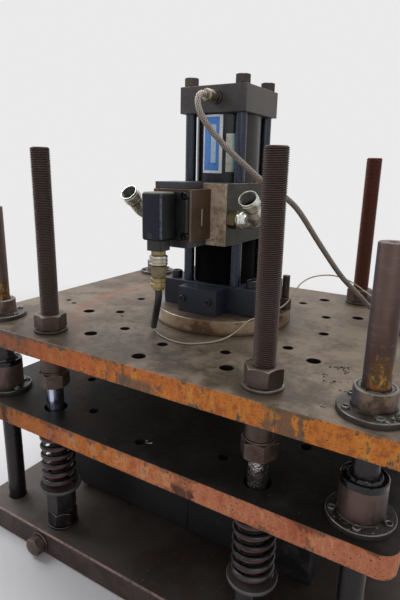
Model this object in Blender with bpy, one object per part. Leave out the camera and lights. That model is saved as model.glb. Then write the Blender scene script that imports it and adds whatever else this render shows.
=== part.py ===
"""Four-post hydraulic press with a servo-valve cylinder on a bolted plate frame.

Units are metres and +Z is up. The origin is the centre of the base's underside, +X runs
along the front edge to the right and +Y to the back. Four tie rods with nuts hold the top
plate over the base. The platen slides on four guide posts, the cylinder pushes it down and
four springs round the tie rods lift it again.
"""
from math import ceil, cos, pi, radians, sin, tan

import bmesh
import bpy
from mathutils import Vector

# Gaps and cuts
FACE_GAP = 0.0003
RUNNING_GAP = 0.0004
CUT_OVERRUN = 0.004
FUSE_DEPTH = 0.001
SMOOTH_ANGLE = radians(32)

# Plates
PLATE_LENGTH = 0.916
PLATE_WIDTH = 0.700
PLATE_EDGE_BREAK = 0.0012
TOP_PLATE_THICKNESS = 0.040
TOP_PLATE_CORNER = 0.010
PLATEN_THICKNESS = 0.040
PLATEN_CORNER = 0.026
BASE_SETBACK = 0.005
BASE_WIDTH = PLATE_WIDTH - 2 * BASE_SETBACK
BASE_THICKNESS = 0.055
BASE_CORNER = 0.020
BASE_EDGE_BREAK = 0.005
PLATE_DAYLIGHT = 0.130
OUTER_CIRCLE_MARGIN = 0.044
CIRCLE_STEP = 0.0715
OUTER_CIRCLE_RADIUS = PLATE_WIDTH / 2 - OUTER_CIRCLE_MARGIN
INNER_CIRCLE_RADIUS = OUTER_CIRCLE_RADIUS - CIRCLE_STEP
INNER_HOLE_RADIUS = 0.010
OUTER_HOLE_RADIUS = 0.0125
PLATEN_HOLE_RADIUS = 0.010
PIN_HOLE_RADIUS = 0.006
DOWEL_HOLE_RADIUS = 0.003
PIN_HOLE_X = 0.373
PIN_HOLE_Y = 0.112
PIN_HOLE_STEP_X = 0.030
PIN_HOLE_STEP_Y = 0.012
DOWEL_HOLE_X = 0.179
DOWEL_HOLE_Y = 0.140
INNER_HOLE_ANGLES = tuple(range(0, 360, 30))
OUTER_HOLE_ANGLES = tuple(angle for angle in range(0, 360, 30) if angle % 180)

# Tie rods and their nuts
ROD_SPACING = 0.465
ROD_MARGIN_Y = 0.055
ROD_X = ROD_SPACING / 2
ROD_Y = PLATE_WIDTH / 2 - ROD_MARGIN_Y
ROD_RADIUS = 0.018
ROD_THREAD_RELIEF = 0.0012
ROD_REACH = 0.352
ROD_ENGAGEMENT = 0.048
ROD_CHAMFER = 0.0025
ROD_HOLE_RADIUS = 0.0195
PLATEN_ROD_HOLE_RADIUS = 0.0235
NUT_ACROSS_FLATS = 0.055
NUT_HEIGHT = 0.031
WASHER_RADIUS = 0.033
WASHER_THICKNESS = 0.005
SLEEVE_RADIUS = 0.025
SLEEVE_HEIGHT = 0.045
SLEEVE_WASHER_RADIUS = 0.027
SLEEVE_WASHER_THICKNESS = 0.003
COUPLER_HEIGHT = 0.056
SEAT_RADIUS = 0.044
SEAT_THICKNESS = 0.010

# Return springs
SPRING_LENGTH = 0.141
SPRING_OUTER_RADIUS = 0.038
SPRING_WIRE_RADIUS = 0.0058
SPRING_ACTIVE_TURNS = 5
SPRING_COIL_CLEARANCE = 0.0008

# Guide posts and flanged bushings
POST_MARGIN = 0.063
POST_X = PLATE_LENGTH / 2 - POST_MARGIN
POST_Y = PLATE_WIDTH / 2 - POST_MARGIN
POST_RADIUS = 0.0195
POST_REACH = 0.236
POST_ENGAGEMENT = 0.050
POST_CHAMFER = 0.002
POST_TAP_RADIUS = 0.006
POST_TAP_DEPTH = 0.024
BUSHING_FLANGE_RADIUS = 0.051
BUSHING_FLANGE_THICKNESS = 0.009
BUSHING_SPIGOT_RADIUS = 0.027
BUSHING_EDGE_BREAK = 0.0015
TOP_COLLAR_RADIUS = 0.0305
TOP_COLLAR_HEIGHT = 0.030
PLATEN_COLLAR_RADIUS = 0.0345
PLATEN_COLLAR_HEIGHT = 0.062
WIPER_RADIUS = 0.028
WIPER_DEPTH = 0.004

# Bolster on the base
BOLSTER_LENGTH = 0.600
BOLSTER_WIDTH = 0.370
BOLSTER_HEIGHT = 0.120
BOLSTER_UNDERCUT = 0.016
BOLSTER_FOOT_HEIGHT = 0.018
BOLSTER_EDGE_BREAK = 0.002

# Bolt in the base's front face
SIDE_BOLT_X = -0.252
SIDE_BOLT_HEIGHT = 0.0255
SIDE_BOLT_ACROSS_FLATS = 0.036
SIDE_BOLT_HEAD_LENGTH = 0.020
SIDE_BOLT_WASHER_RADIUS = 0.0235
SIDE_BOLT_WASHER_THICKNESS = 0.004

# Cylinder
DISC_RADIUS = 0.150
DISC_THICKNESS = 0.030
DISC_EDGE_BREAK = 0.0015
DISC_STUD_X = 0.136
DISC_STUD_Y = 0.028
DISC_STUD_RADIUS = 0.008
DISC_STUD_HEIGHT = 0.074
DISC_STUD_NUT_ACROSS_FLATS = 0.024
DISC_STUD_NUT_HEIGHT = 0.026
HEAD_HALF_LENGTH = 0.110
CAP_HALF_SIDE = 0.073
HEAD_HEIGHT = 0.055
HEAD_EDGE_BREAK = 0.0015
HEAD_SCREW_X = 0.092
HEAD_SCREW_Y = 0.050
HEAD_SCREW_RADIUS = 0.012
HEAD_SCREW_HEIGHT = 0.016
HEAD_SCREW_SOCKET_ACROSS_FLATS = 0.014
HEAD_SCREW_SOCKET_DEPTH = 0.008
RETAINER_HALF_LENGTH = 0.045
RETAINER_DEPTH = 0.042
RETAINER_HEIGHT = 0.053
RETAINER_SCREW_X = 0.031
RETAINER_SCREW_HEIGHT = 0.028
RETAINER_SCREW_RADIUS = 0.007
RETAINER_SCREW_REACH = 0.005
TUBE_RADIUS = 0.0655
TUBE_BORE_RADIUS = 0.050
TUBE_LENGTH = 0.338
CAP_HEIGHT = 0.050
STAY_OFFSET = 0.0565
STAY_RADIUS = 0.0110
STAY_NUT_ACROSS_FLATS = 0.027
STAY_NUT_HEIGHT = 0.017
STAY_ENGAGEMENT = 0.040

# Piston, its rod and the flange on the platen
PISTON_ROD_RADIUS = 0.028
PISTON_CLEARANCE = 0.0005
PISTON_HEIGHT = 0.050
PISTON_TOP_MARGIN = 0.120
ROD_PASSAGE_RADIUS = 0.0295
ROD_FLANGE_RADIUS = 0.060
ROD_FLANGE_HEIGHT = 0.022
ROD_FLANGE_BREAK = 0.002

# Manifold round the tube and the servo valve in front of it
MANIFOLD_BOTTOM = 0.6870
MANIFOLD_TOP = 0.8025
MANIFOLD_FRONT = -0.135
MANIFOLD_EDGE_BREAK = 0.0012
VALVE_LEFT = -0.041
VALVE_RIGHT = 0.039
VALVE_FRONT = -0.205
VALVE_BOTTOM = 0.7000
VALVE_TOP = 0.7920
VALVE_LID_RIGHT = 0.022
VALVE_LID_SETBACK = 0.005
VALVE_LID_THICKNESS = 0.0125
VALVE_SOLE_RIGHT = 0.030
VALVE_EDGE_BREAK = 0.0012
COVER_LEFT = -0.028
COVER_RIGHT = 0.016
COVER_FRONT = -0.261
COVER_BOTTOM = 0.7050
COVER_TOP = 0.7880
COVER_CORNER = 0.006
COVER_EDGE_BREAK = 0.004
COVER_FLANGE_WIDTH = 0.020
COVER_FLANGE_DEPTH = 0.010
NECK_HALF_LENGTH = 0.0155
NECK_HALF_DEPTH = 0.0165
NECK_BOTTOM = 0.6860
NECK_CORNER = 0.005
CONNECTOR_X = -0.008
CONNECTOR_Y = -0.236
CONNECTOR_RADIUS = 0.0165
CONNECTOR_LENGTH = 0.073
PORT_Y = -0.1200
PORT_Z = 0.7375
ELBOW_HEX_ACROSS_FLATS = 0.030
ELBOW_HEX_LENGTH = 0.016
ELBOW_NECK_RADIUS = 0.0125
ELBOW_NECK_LENGTH = 0.0195
ELBOW_TUBE_RADIUS = 0.0150
ELBOW_BEND_RADIUS = 0.022
ELBOW_LEG_LENGTH = 0.0425
ELBOW_MOUTH_RADIUS = 0.0180
ELBOW_MOUTH_LENGTH = 0.017
ELBOW_MOUTH_BREAK = 0.0015
ELBOW_BORE_RADIUS = 0.0130
ELBOW_BORE_DEPTH = 0.028
ELBOW_TILT = radians(42)

# Gland on the cylinder cap
GLAND_X = 0.0085
GLAND_HEIGHT = 0.960
GLAND_RADIUS = 0.0135
GLAND_LENGTH = 0.040

# Cords
CABLE_DIAMETER = 0.013
HOSE_DIAMETER = 0.011
HOSE_COIL_MIDDLE_RADIUS = 0.062
LEAD_DIAMETER = 0.003
LEAD_COIL_MIDDLE_RADIUS = 0.0170
COILS_X = 0.380
COILS_Y = 0.150
PLUG_RADIUS = 0.009
PLUG_LENGTH = 0.050
PLUG_PLACE = radians(-60)
HOSE_STEP_DIAMETERS = 2.5
LEAD_STEP_DIAMETERS = 3.0

# Shares of a piece's own sizes: the straight end of a cord's first and last leg, and
# turned profiles as shares of a radius and a length
CORD_END_SHARE = 0.3
CONNECTOR_PROFILE_SHARES = (
    (0.78, 0.00), (0.78, 0.10), (1.00, 0.12), (1.00, 0.36), (0.82, 0.38), (0.82, 0.66),
    (0.88, 0.68), (0.88, 0.92), (0.62, 0.94), (0.62, 1.00))
GLAND_PROFILE_SHARES = (
    (1.00, 0.00), (1.00, 0.30), (0.72, 0.34), (0.72, 0.50), (0.86, 0.53), (0.86, 0.86),
    (0.60, 0.92), (0.60, 1.00))
PLUG_PROFILE_SHARES = (
    (0.66, 0.00), (0.80, 0.12), (0.80, 0.30), (1.00, 0.34), (1.00, 0.86), (0.90, 0.88),
    (0.90, 1.00))

# Segments
DISC_SEGMENTS = 40
TUBE_SEGMENTS = 24
ROUND_SEGMENTS = 16
HEX_SEGMENTS = 12
SEAT_SEGMENTS = 18
HOLE_SEGMENTS = 10
COIL_SEGMENTS = 24
SPRING_SIDES = 6
SPRING_STEPS_PER_TURN = 11
CORNER_STEPS = 3
ELBOW_SEGMENTS = 12
ELBOW_BEND_STEPS = 4

# Heights that follow from the sizes above
SEAT_TOP = (BASE_THICKNESS + WASHER_THICKNESS + NUT_HEIGHT + COUPLER_HEIGHT
            + SEAT_THICKNESS + FACE_GAP)
PLATEN_BOTTOM = SEAT_TOP + SPRING_LENGTH
PLATEN_TOP = PLATEN_BOTTOM + PLATEN_THICKNESS
TOP_PLATE_BOTTOM = PLATEN_TOP + PLATE_DAYLIGHT
TOP_PLATE_TOP = TOP_PLATE_BOTTOM + TOP_PLATE_THICKNESS
DISC_TOP = TOP_PLATE_TOP + FACE_GAP + DISC_THICKNESS
HEAD_BOTTOM = DISC_TOP + FACE_GAP
HEAD_TOP = HEAD_BOTTOM + HEAD_HEIGHT
TUBE_BOTTOM = HEAD_TOP + FACE_GAP
CAP_BOTTOM = TUBE_BOTTOM + TUBE_LENGTH + FACE_GAP
CAP_TOP = CAP_BOTTOM + CAP_HEIGHT

CORNERS = {
    "front_left": (-1, -1),
    "front_right": (1, -1),
    "back_left": (-1, 1),
    "back_right": (1, 1),
}


def clear_scene():
    for obj in list(bpy.data.objects):
        bpy.data.objects.remove(obj, do_unlink=True)


def finish(name, colour, roughness, metallic):
    """A plain surface finish with the given colour, roughness and metallic value."""
    material = bpy.data.materials.new(name)
    material.use_nodes = True
    shader = material.node_tree.nodes["Principled BSDF"]
    shader.inputs["Base Color"].default_value = (*colour, 1)
    shader.inputs["Roughness"].default_value = roughness
    shader.inputs["Metallic"].default_value = metallic
    material.diffuse_color = (*colour, 1)
    return material


def solid(name, vertices, faces, material, location=(0, 0, 0)):
    """A mesh object from vertices and faces, with its faces turned outwards."""
    mesh = bpy.data.meshes.new(name)
    mesh.from_pydata(vertices, [], faces)
    shape = bmesh.new()
    shape.from_mesh(mesh)
    bmesh.ops.recalc_face_normals(shape, faces=shape.faces)
    shape.to_mesh(mesh)
    shape.free()
    mesh.shade_smooth()
    mesh.set_sharp_from_angle(angle=SMOOTH_ANGLE)
    if material:
        mesh.materials.append(material)
    obj = bpy.data.objects.new(name, mesh)
    obj.location = location
    bpy.context.scene.collection.objects.link(obj)
    return obj


def revolve(name, profile_at, segments, material, location=(0, 0, 0), bored=True):
    """A turned solid. profile_at gives the (radius, height) points at an angle.

    A bored profile is a closed loop round the section. Any other runs up the outside, and
    its first and last rings are closed by flat faces.
    """
    columns = []
    for step in range(segments):
        angle = 2 * pi * step / segments
        columns.append([(radius * cos(angle), radius * sin(angle), height)
                        for radius, height in profile_at(angle)])
    count = len(columns[0])
    vertices = [point for column in columns for point in column]
    faces = []
    for step in range(segments):
        here = step * count
        there = (step + 1) % segments * count
        for row in range(count if bored else count - 1):
            after = (row + 1) % count
            faces.append((here + row, there + row, there + after, here + after))
    if not bored:
        faces.append([step * count for step in range(segments)])
        faces.append([step * count + count - 1 for step in range(segments)])
    return solid(name, vertices, faces, material, location)


def round_section(*points):
    """Profile points that are the same all the way round."""
    return lambda angle: list(points)


def hex_section(across_flats, bottom, top):
    """Profile points of a hexagon with chamfered corners between two heights."""
    flat = across_flats / 2
    face = flat * 0.97

    def points(angle):
        corner = flat / cos((angle + radians(0.01)) % (pi / 3) - pi / 6)
        drop = (corner - face) * tan(pi / 6)
        return [(face, bottom), (corner, bottom + drop), (corner, top - drop), (face, top)]
    return points


def stacked(*sections):
    """One profile from several, in order."""
    return lambda angle: [point for section in sections for point in section(angle)]


def clear_radius(radius, segments):
    """The corner radius of a polygon whose flats lie at the given radius."""
    return radius / cos(pi / segments)


def shares_section(shares, radius, length):
    """Profile points from shares of a radius and a length."""
    return round_section(*[(radius * r_share, length * z_share) for r_share, z_share in shares])


def rounded_outline(left, right, front, back, corner):
    """The corners of a rectangle with round corners, counter-clockwise."""
    points = []
    centres = ((right - corner, back - corner, 0), (left + corner, back - corner, 1),
               (left + corner, front + corner, 2), (right - corner, front + corner, 3))
    for centre_x, centre_y, quarter in centres:
        for step in range(CORNER_STEPS + 1):
            angle = pi / 2 * (quarter + step / CORNER_STEPS)
            points.append((centre_x + corner * cos(angle), centre_y + corner * sin(angle)))
    return points


def prism(name, outline, bottom, top, material, location=(0, 0, 0)):
    """An outline in X and Y drawn up from one height to another."""
    count = len(outline)
    vertices = [(x, y, height) for height in (bottom, top) for x, y in outline]
    faces = [(i, (i + 1) % count, count + (i + 1) % count, count + i) for i in range(count)]
    faces.append(tuple(range(count)))
    faces.append(tuple(range(count, 2 * count)))
    return solid(name, vertices, faces, material, location)


def block(name, low, high, material):
    """A box between two corners."""
    outline = ((low[0], low[1]), (high[0], low[1]), (high[0], high[1]), (low[0], high[1]))
    return prism(name, outline, low[2], high[2], material)


def bevel(obj, width, segments=1):
    modifier = obj.modifiers.new("edge_break", "BEVEL")
    modifier.width = width
    modifier.segments = segments
    modifier.limit_method = "ANGLE"
    modifier.angle_limit = radians(40)
    modifier.use_clamp_overlap = True
    return obj


def combine(obj, tool, operation):
    """A Boolean with a tool that is hidden from the finished model."""
    modifier = obj.modifiers.new(operation.lower(), "BOOLEAN")
    modifier.operation = operation
    modifier.solver = "EXACT"
    modifier.object = tool
    tool.hide_render = True
    tool.display_type = "WIRE"
    return obj


def drills(name, holes, bottom, top):
    """Round cutters, each (x, y, radius, segments), joined in one tool."""
    vertices = []
    faces = []
    for x, y, radius, segments in holes:
        start = len(vertices)
        corner = clear_radius(radius, segments)
        for height in (bottom - CUT_OVERRUN, top + CUT_OVERRUN):
            for step in range(segments):
                angle = 2 * pi * (step + 0.5) / segments
                vertices.append((x + corner * cos(angle), y + corner * sin(angle), height))
        for step in range(segments):
            after = (step + 1) % segments
            faces.append((start + step, start + after,
                          start + segments + after, start + segments + step))
        faces.append([start + step for step in range(segments)])
        faces.append([start + segments + step for step in range(segments)])
    return solid(name, vertices, faces, None)


def corner_holes(x, y, radius, segments=HEX_SEGMENTS):
    """One hole at each corner of the press."""
    return [(side_x * x, side_y * y, radius, segments) for side_x, side_y in CORNERS.values()]


def circle_holes(circle_radius, hole_radius, angles):
    """Holes on a bolt circle at the given angles in degrees."""
    return [(circle_radius * cos(radians(angle)), circle_radius * sin(radians(angle)),
             hole_radius, HOLE_SEGMENTS) for angle in angles]


def attach(obj, carrier):
    """Hang a piece on a carrier without moving it."""
    obj.location = Vector(obj.location) - Vector(carrier.location)
    obj.parent = carrier


def make_base_plate(steel):
    outline = rounded_outline(-PLATE_LENGTH / 2, PLATE_LENGTH / 2,
                              -BASE_WIDTH / 2, BASE_WIDTH / 2, BASE_CORNER)
    base = prism("base_plate", outline, 0, BASE_THICKNESS, steel)
    bevel(base, BASE_EDGE_BREAK)
    holes = corner_holes(ROD_X, ROD_Y, ROD_RADIUS + FACE_GAP)
    holes += corner_holes(POST_X, POST_Y, POST_RADIUS + FACE_GAP)
    combine(base, drills("base_drills", holes, 0, BASE_THICKNESS), "DIFFERENCE")


def make_top_plate(steel):
    outline = rounded_outline(-PLATE_LENGTH / 2, PLATE_LENGTH / 2,
                              -PLATE_WIDTH / 2, PLATE_WIDTH / 2, TOP_PLATE_CORNER)
    plate = prism("top_plate", outline, TOP_PLATE_BOTTOM, TOP_PLATE_TOP, steel)
    bevel(plate, PLATE_EDGE_BREAK)
    holes = corner_holes(ROD_X, ROD_Y, ROD_HOLE_RADIUS)
    holes += corner_holes(POST_X, POST_Y, BUSHING_SPIGOT_RADIUS + FACE_GAP, ROUND_SEGMENTS)
    holes += circle_holes(INNER_CIRCLE_RADIUS, INNER_HOLE_RADIUS, INNER_HOLE_ANGLES)
    holes += circle_holes(OUTER_CIRCLE_RADIUS, OUTER_HOLE_RADIUS, OUTER_HOLE_ANGLES)
    holes.append((0, 0, ROD_PASSAGE_RADIUS, TUBE_SEGMENTS))
    holes.append((-PIN_HOLE_X, -PIN_HOLE_Y, PIN_HOLE_RADIUS, HOLE_SEGMENTS))
    holes.append((PIN_HOLE_STEP_X - PIN_HOLE_X, -PIN_HOLE_Y - PIN_HOLE_STEP_Y,
                  PIN_HOLE_RADIUS, HOLE_SEGMENTS))
    holes.append((-DOWEL_HOLE_X, -DOWEL_HOLE_Y, DOWEL_HOLE_RADIUS, HOLE_SEGMENTS))
    tool = drills("top_plate_drills", holes, TOP_PLATE_BOTTOM, TOP_PLATE_TOP)
    combine(plate, tool, "DIFFERENCE")


def make_platen(steel, carriage):
    outline = rounded_outline(-PLATE_LENGTH / 2, PLATE_LENGTH / 2,
                              -PLATE_WIDTH / 2, PLATE_WIDTH / 2, PLATEN_CORNER)
    platen = prism("platen", outline, PLATEN_BOTTOM, PLATEN_TOP, steel)
    bevel(platen, PLATE_EDGE_BREAK)
    holes = corner_holes(ROD_X, ROD_Y, PLATEN_ROD_HOLE_RADIUS)
    holes += corner_holes(POST_X, POST_Y, BUSHING_SPIGOT_RADIUS + FACE_GAP, ROUND_SEGMENTS)
    holes += circle_holes(OUTER_CIRCLE_RADIUS, PLATEN_HOLE_RADIUS, OUTER_HOLE_ANGLES)
    combine(platen, drills("platen_drills", holes, PLATEN_BOTTOM, PLATEN_TOP), "DIFFERENCE")
    attach(platen, carriage)


def make_bolster(steel):
    """A thick bolster on the base, undercut along its front and back feet."""
    half = BOLSTER_WIDTH / 2
    foot = half - BOLSTER_UNDERCUT
    bottom = BASE_THICKNESS + FACE_GAP
    outline = ((-foot, bottom), (foot, bottom), (foot, bottom + BOLSTER_FOOT_HEIGHT),
               (half, bottom + BOLSTER_FOOT_HEIGHT), (half, bottom + BOLSTER_HEIGHT),
               (-half, bottom + BOLSTER_HEIGHT), (-half, bottom + BOLSTER_FOOT_HEIGHT),
               (-foot, bottom + BOLSTER_FOOT_HEIGHT))
    count = len(outline)
    ends = (-BOLSTER_LENGTH / 2, BOLSTER_LENGTH / 2)
    vertices = [(x, y, z) for x in ends for y, z in outline]
    faces = [(i, (i + 1) % count, count + (i + 1) % count, count + i) for i in range(count)]
    faces.append(tuple(range(count)))
    faces.append(tuple(range(count, 2 * count)))
    bevel(solid("bolster", vertices, faces, steel), BOLSTER_EDGE_BREAK)


def make_side_bolt(steel):
    """A hexagon bolt with a round washer in the base's front face."""
    washer = SIDE_BOLT_WASHER_THICKNESS
    profile = stacked(
        round_section((SIDE_BOLT_WASHER_RADIUS, 0), (SIDE_BOLT_WASHER_RADIUS, washer)),
        hex_section(SIDE_BOLT_ACROSS_FLATS, washer, washer + SIDE_BOLT_HEAD_LENGTH))
    location = (SIDE_BOLT_X, -BASE_WIDTH / 2 - FACE_GAP, SIDE_BOLT_HEIGHT)
    bolt = revolve("side_bolt", profile, ROUND_SEGMENTS, steel, location, bored=False)
    bolt.rotation_euler = (pi / 2, 0, 0)


def make_tie_rod(corner, sides, steel):
    foot = BASE_THICKNESS - ROD_ENGAGEMENT
    top = TOP_PLATE_TOP + ROD_REACH
    profile = round_section(
        (ROD_RADIUS - ROD_CHAMFER, foot), (ROD_RADIUS, foot + ROD_CHAMFER),
        (ROD_RADIUS, top - ROD_CHAMFER), (ROD_RADIUS - ROD_CHAMFER, top))
    location = (sides[0] * ROD_X, sides[1] * ROD_Y, 0)
    revolve(f"tie_rod_{corner}", profile, ROUND_SEGMENTS, steel, location, bored=False)


def make_top_nut(corner, sides, steel):
    """The hexagon nut and washer that clamp the top plate from above."""
    bore = clear_radius(ROD_RADIUS + FACE_GAP, HEX_SEGMENTS)
    bottom = TOP_PLATE_TOP + FACE_GAP
    washer = bottom + WASHER_THICKNESS
    profile = stacked(
        round_section((bore, bottom), (WASHER_RADIUS, bottom), (WASHER_RADIUS, washer)),
        hex_section(NUT_ACROSS_FLATS, washer, washer + NUT_HEIGHT),
        round_section((bore, washer + NUT_HEIGHT)))
    location = (sides[0] * ROD_X, sides[1] * ROD_Y, 0)
    revolve(f"top_nut_{corner}", profile, HEX_SEGMENTS, steel, location)


def make_under_nut(corner, sides, steel):
    """The nut, washer and round sleeve that carry the top plate from below."""
    bore = clear_radius(ROD_RADIUS + FACE_GAP, HEX_SEGMENTS)
    top = TOP_PLATE_BOTTOM - FACE_GAP
    sleeve = top - SLEEVE_HEIGHT
    washer = sleeve - SLEEVE_WASHER_THICKNESS
    profile = stacked(
        round_section((bore, washer - NUT_HEIGHT)),
        hex_section(NUT_ACROSS_FLATS, washer - NUT_HEIGHT, washer),
        round_section((SLEEVE_WASHER_RADIUS, washer), (SLEEVE_WASHER_RADIUS, sleeve),
                      (SLEEVE_RADIUS, sleeve), (SLEEVE_RADIUS, top), (bore, top)))
    location = (sides[0] * ROD_X, sides[1] * ROD_Y, 0)
    revolve(f"under_nut_{corner}", profile, HEX_SEGMENTS, steel, location)


def make_spring_seat(corner, sides, steel):
    """The foot nut and long coupling nut on the base, with the spring's round seat on top."""
    bore = clear_radius(ROD_RADIUS + FACE_GAP, HEX_SEGMENTS)
    bottom = BASE_THICKNESS + FACE_GAP
    washer = bottom + WASHER_THICKNESS
    nut = washer + NUT_HEIGHT
    coupler = nut + COUPLER_HEIGHT
    profile = stacked(
        round_section((bore, bottom), (WASHER_RADIUS, bottom), (WASHER_RADIUS, washer)),
        hex_section(NUT_ACROSS_FLATS, washer, nut),
        hex_section(NUT_ACROSS_FLATS, nut, coupler),
        round_section((SEAT_RADIUS, coupler), (SEAT_RADIUS, SEAT_TOP), (bore, SEAT_TOP)))
    location = (sides[0] * ROD_X, sides[1] * ROD_Y, 0)
    revolve(f"spring_seat_{corner}", profile, SEAT_SEGMENTS, steel, location)


def spring_height(turn):
    """The wire's height above the spring's foot, with a closed turn at each end."""
    closed_pitch = 2 * SPRING_WIRE_RADIUS + SPRING_COIL_CLEARANCE
    travel = SPRING_LENGTH - 2 * SPRING_WIRE_RADIUS - 2 * FACE_GAP
    active_pitch = (travel - 2 * closed_pitch) / SPRING_ACTIVE_TURNS
    start = SPRING_WIRE_RADIUS + FACE_GAP
    lower = min(turn, 1)
    active = min(max(turn - 1, 0), SPRING_ACTIVE_TURNS)
    upper = max(turn - 1 - SPRING_ACTIVE_TURNS, 0)
    return start + (lower + upper) * closed_pitch + active * active_pitch


def make_spring(corner, sides, steel):
    """A compression spring of round wire between the seat and the platen."""
    middle = SPRING_OUTER_RADIUS - SPRING_WIRE_RADIUS
    turns = SPRING_ACTIVE_TURNS + 2
    steps = turns * SPRING_STEPS_PER_TURN
    vertices = []
    for step in range(steps + 1):
        turn = step / SPRING_STEPS_PER_TURN
        angle = 2 * pi * turn
        for side in range(SPRING_SIDES):
            around = 2 * pi * (side + 0.5) / SPRING_SIDES
            radius = middle + clear_radius(SPRING_WIRE_RADIUS, SPRING_SIDES) * cos(around)
            height = spring_height(turn) + SPRING_WIRE_RADIUS * sin(around)
            vertices.append((radius * cos(angle), radius * sin(angle), height))
    faces = []
    for step in range(steps):
        here = step * SPRING_SIDES
        there = here + SPRING_SIDES
        for side in range(SPRING_SIDES):
            after = (side + 1) % SPRING_SIDES
            faces.append((here + side, there + side, there + after, here + after))
    faces.append(tuple(range(SPRING_SIDES)))
    faces.append(tuple(range(steps * SPRING_SIDES, (steps + 1) * SPRING_SIDES)))
    location = (sides[0] * ROD_X, sides[1] * ROD_Y, SEAT_TOP)
    return solid(f"spring_{corner}", vertices, faces, steel, location)


def make_guide_post(corner, sides, steel):
    """A ground post with a tapped hole in its top face."""
    foot = BASE_THICKNESS - POST_ENGAGEMENT
    top = TOP_PLATE_TOP + POST_REACH
    profile = round_section(
        (POST_RADIUS - POST_CHAMFER, foot), (POST_RADIUS, foot + POST_CHAMFER),
        (POST_RADIUS, top - POST_CHAMFER), (POST_RADIUS - POST_CHAMFER, top),
        (POST_TAP_RADIUS, top), (POST_TAP_RADIUS, top - POST_TAP_DEPTH))
    location = (sides[0] * POST_X, sides[1] * POST_Y, 0)
    revolve(f"guide_post_{corner}", profile, ROUND_SEGMENTS, steel, location, bored=False)


def make_bushing(name, sides, plate_bottom, plate_top, collar_radius, collar_height, steel):
    """A flanged bushing: spigot in the plate, flange on it and a collar round the post."""
    bore = clear_radius(POST_RADIUS + RUNNING_GAP, ROUND_SEGMENTS)
    flange = plate_top + FACE_GAP
    collar = flange + BUSHING_FLANGE_THICKNESS
    top = collar + collar_height
    edge = BUSHING_EDGE_BREAK
    wiper = collar_radius - 3 * edge
    profile = round_section(
        (bore, plate_bottom), (BUSHING_SPIGOT_RADIUS, plate_bottom),
        (BUSHING_SPIGOT_RADIUS, flange), (BUSHING_FLANGE_RADIUS, flange),
        (BUSHING_FLANGE_RADIUS, collar), (collar_radius, collar),
        (collar_radius, top - edge), (collar_radius - edge, top),
        (wiper, top), (wiper, top - WIPER_DEPTH), (bore, top - WIPER_DEPTH))
    location = (sides[0] * POST_X, sides[1] * POST_Y, 0)
    return revolve(name, profile, ROUND_SEGMENTS, steel, location)


def make_disc(steel):
    """The round adapter disc under the cylinder, with one stud left standing in it."""
    bottom = TOP_PLATE_TOP + FACE_GAP
    edge = DISC_EDGE_BREAK
    bore = clear_radius(ROD_PASSAGE_RADIUS, DISC_SEGMENTS)
    profile = round_section(
        (bore, bottom), (DISC_RADIUS, bottom), (DISC_RADIUS, DISC_TOP - edge),
        (DISC_RADIUS - edge, DISC_TOP), (bore, DISC_TOP))
    disc = revolve("adapter_disc", profile, DISC_SEGMENTS, steel)
    sunk = DISC_TOP - FUSE_DEPTH
    stud_profile = stacked(
        hex_section(DISC_STUD_NUT_ACROSS_FLATS, sunk, DISC_TOP + DISC_STUD_NUT_HEIGHT),
        round_section((DISC_STUD_RADIUS, DISC_TOP + DISC_STUD_NUT_HEIGHT),
                      (DISC_STUD_RADIUS, DISC_TOP + DISC_STUD_HEIGHT)))
    stud = revolve("disc_stud", stud_profile, HEX_SEGMENTS, None,
                   (DISC_STUD_X, DISC_STUD_Y, 0), bored=False)
    combine(disc, stud, "UNION")


def make_head(steel):
    """The rectangular flange head with four socket screws."""
    head = block("cylinder_head", (-HEAD_HALF_LENGTH, -CAP_HALF_SIDE, HEAD_BOTTOM),
                 (HEAD_HALF_LENGTH, CAP_HALF_SIDE, HEAD_TOP), steel)
    bevel(head, HEAD_EDGE_BREAK)
    passage = [(0, 0, ROD_PASSAGE_RADIUS, TUBE_SEGMENTS)]
    combine(head, drills("head_drill", passage, HEAD_BOTTOM, HEAD_TOP), "DIFFERENCE")
    top = HEAD_TOP + HEAD_SCREW_HEIGHT
    floor = top - HEAD_SCREW_SOCKET_DEPTH
    socket = HEAD_SCREW_SOCKET_ACROSS_FLATS / 2 / cos(pi / 6)
    profile = round_section((HEAD_SCREW_RADIUS, HEAD_TOP - FUSE_DEPTH), (HEAD_SCREW_RADIUS, top),
                            (socket, top), (socket, floor))
    for corner, sides in CORNERS.items():
        screw = revolve(f"head_screw_{corner}", profile, HEX_SEGMENTS, None,
                        (sides[0] * HEAD_SCREW_X, sides[1] * HEAD_SCREW_Y, 0), bored=False)
        combine(head, screw, "UNION")


def make_retainer(steel):
    """The small block screwed on in front of the head."""
    back = -CAP_HALF_SIDE - FACE_GAP
    front = back - RETAINER_DEPTH
    retainer = block("retainer_block", (-RETAINER_HALF_LENGTH, front, HEAD_BOTTOM),
                     (RETAINER_HALF_LENGTH, back, HEAD_BOTTOM + RETAINER_HEIGHT), steel)
    bevel(retainer, HEAD_EDGE_BREAK)
    profile = round_section((RETAINER_SCREW_RADIUS, -FUSE_DEPTH),
                            (RETAINER_SCREW_RADIUS, RETAINER_SCREW_REACH))
    for side in (-1, 1):
        location = (side * RETAINER_SCREW_X, front, HEAD_BOTTOM + RETAINER_SCREW_HEIGHT)
        screw = revolve(f"retainer_screw_{side}", profile, HEX_SEGMENTS, None, location,
                        bored=False)
        screw.rotation_euler = (pi / 2, 0, 0)
        combine(retainer, screw, "UNION")


def make_tube(steel):
    bore = clear_radius(TUBE_BORE_RADIUS, TUBE_SEGMENTS)
    top = TUBE_BOTTOM + TUBE_LENGTH
    profile = round_section((bore, TUBE_BOTTOM), (TUBE_RADIUS, TUBE_BOTTOM),
                            (TUBE_RADIUS, top), (bore, top))
    revolve("cylinder_tube", profile, TUBE_SEGMENTS, steel)


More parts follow.
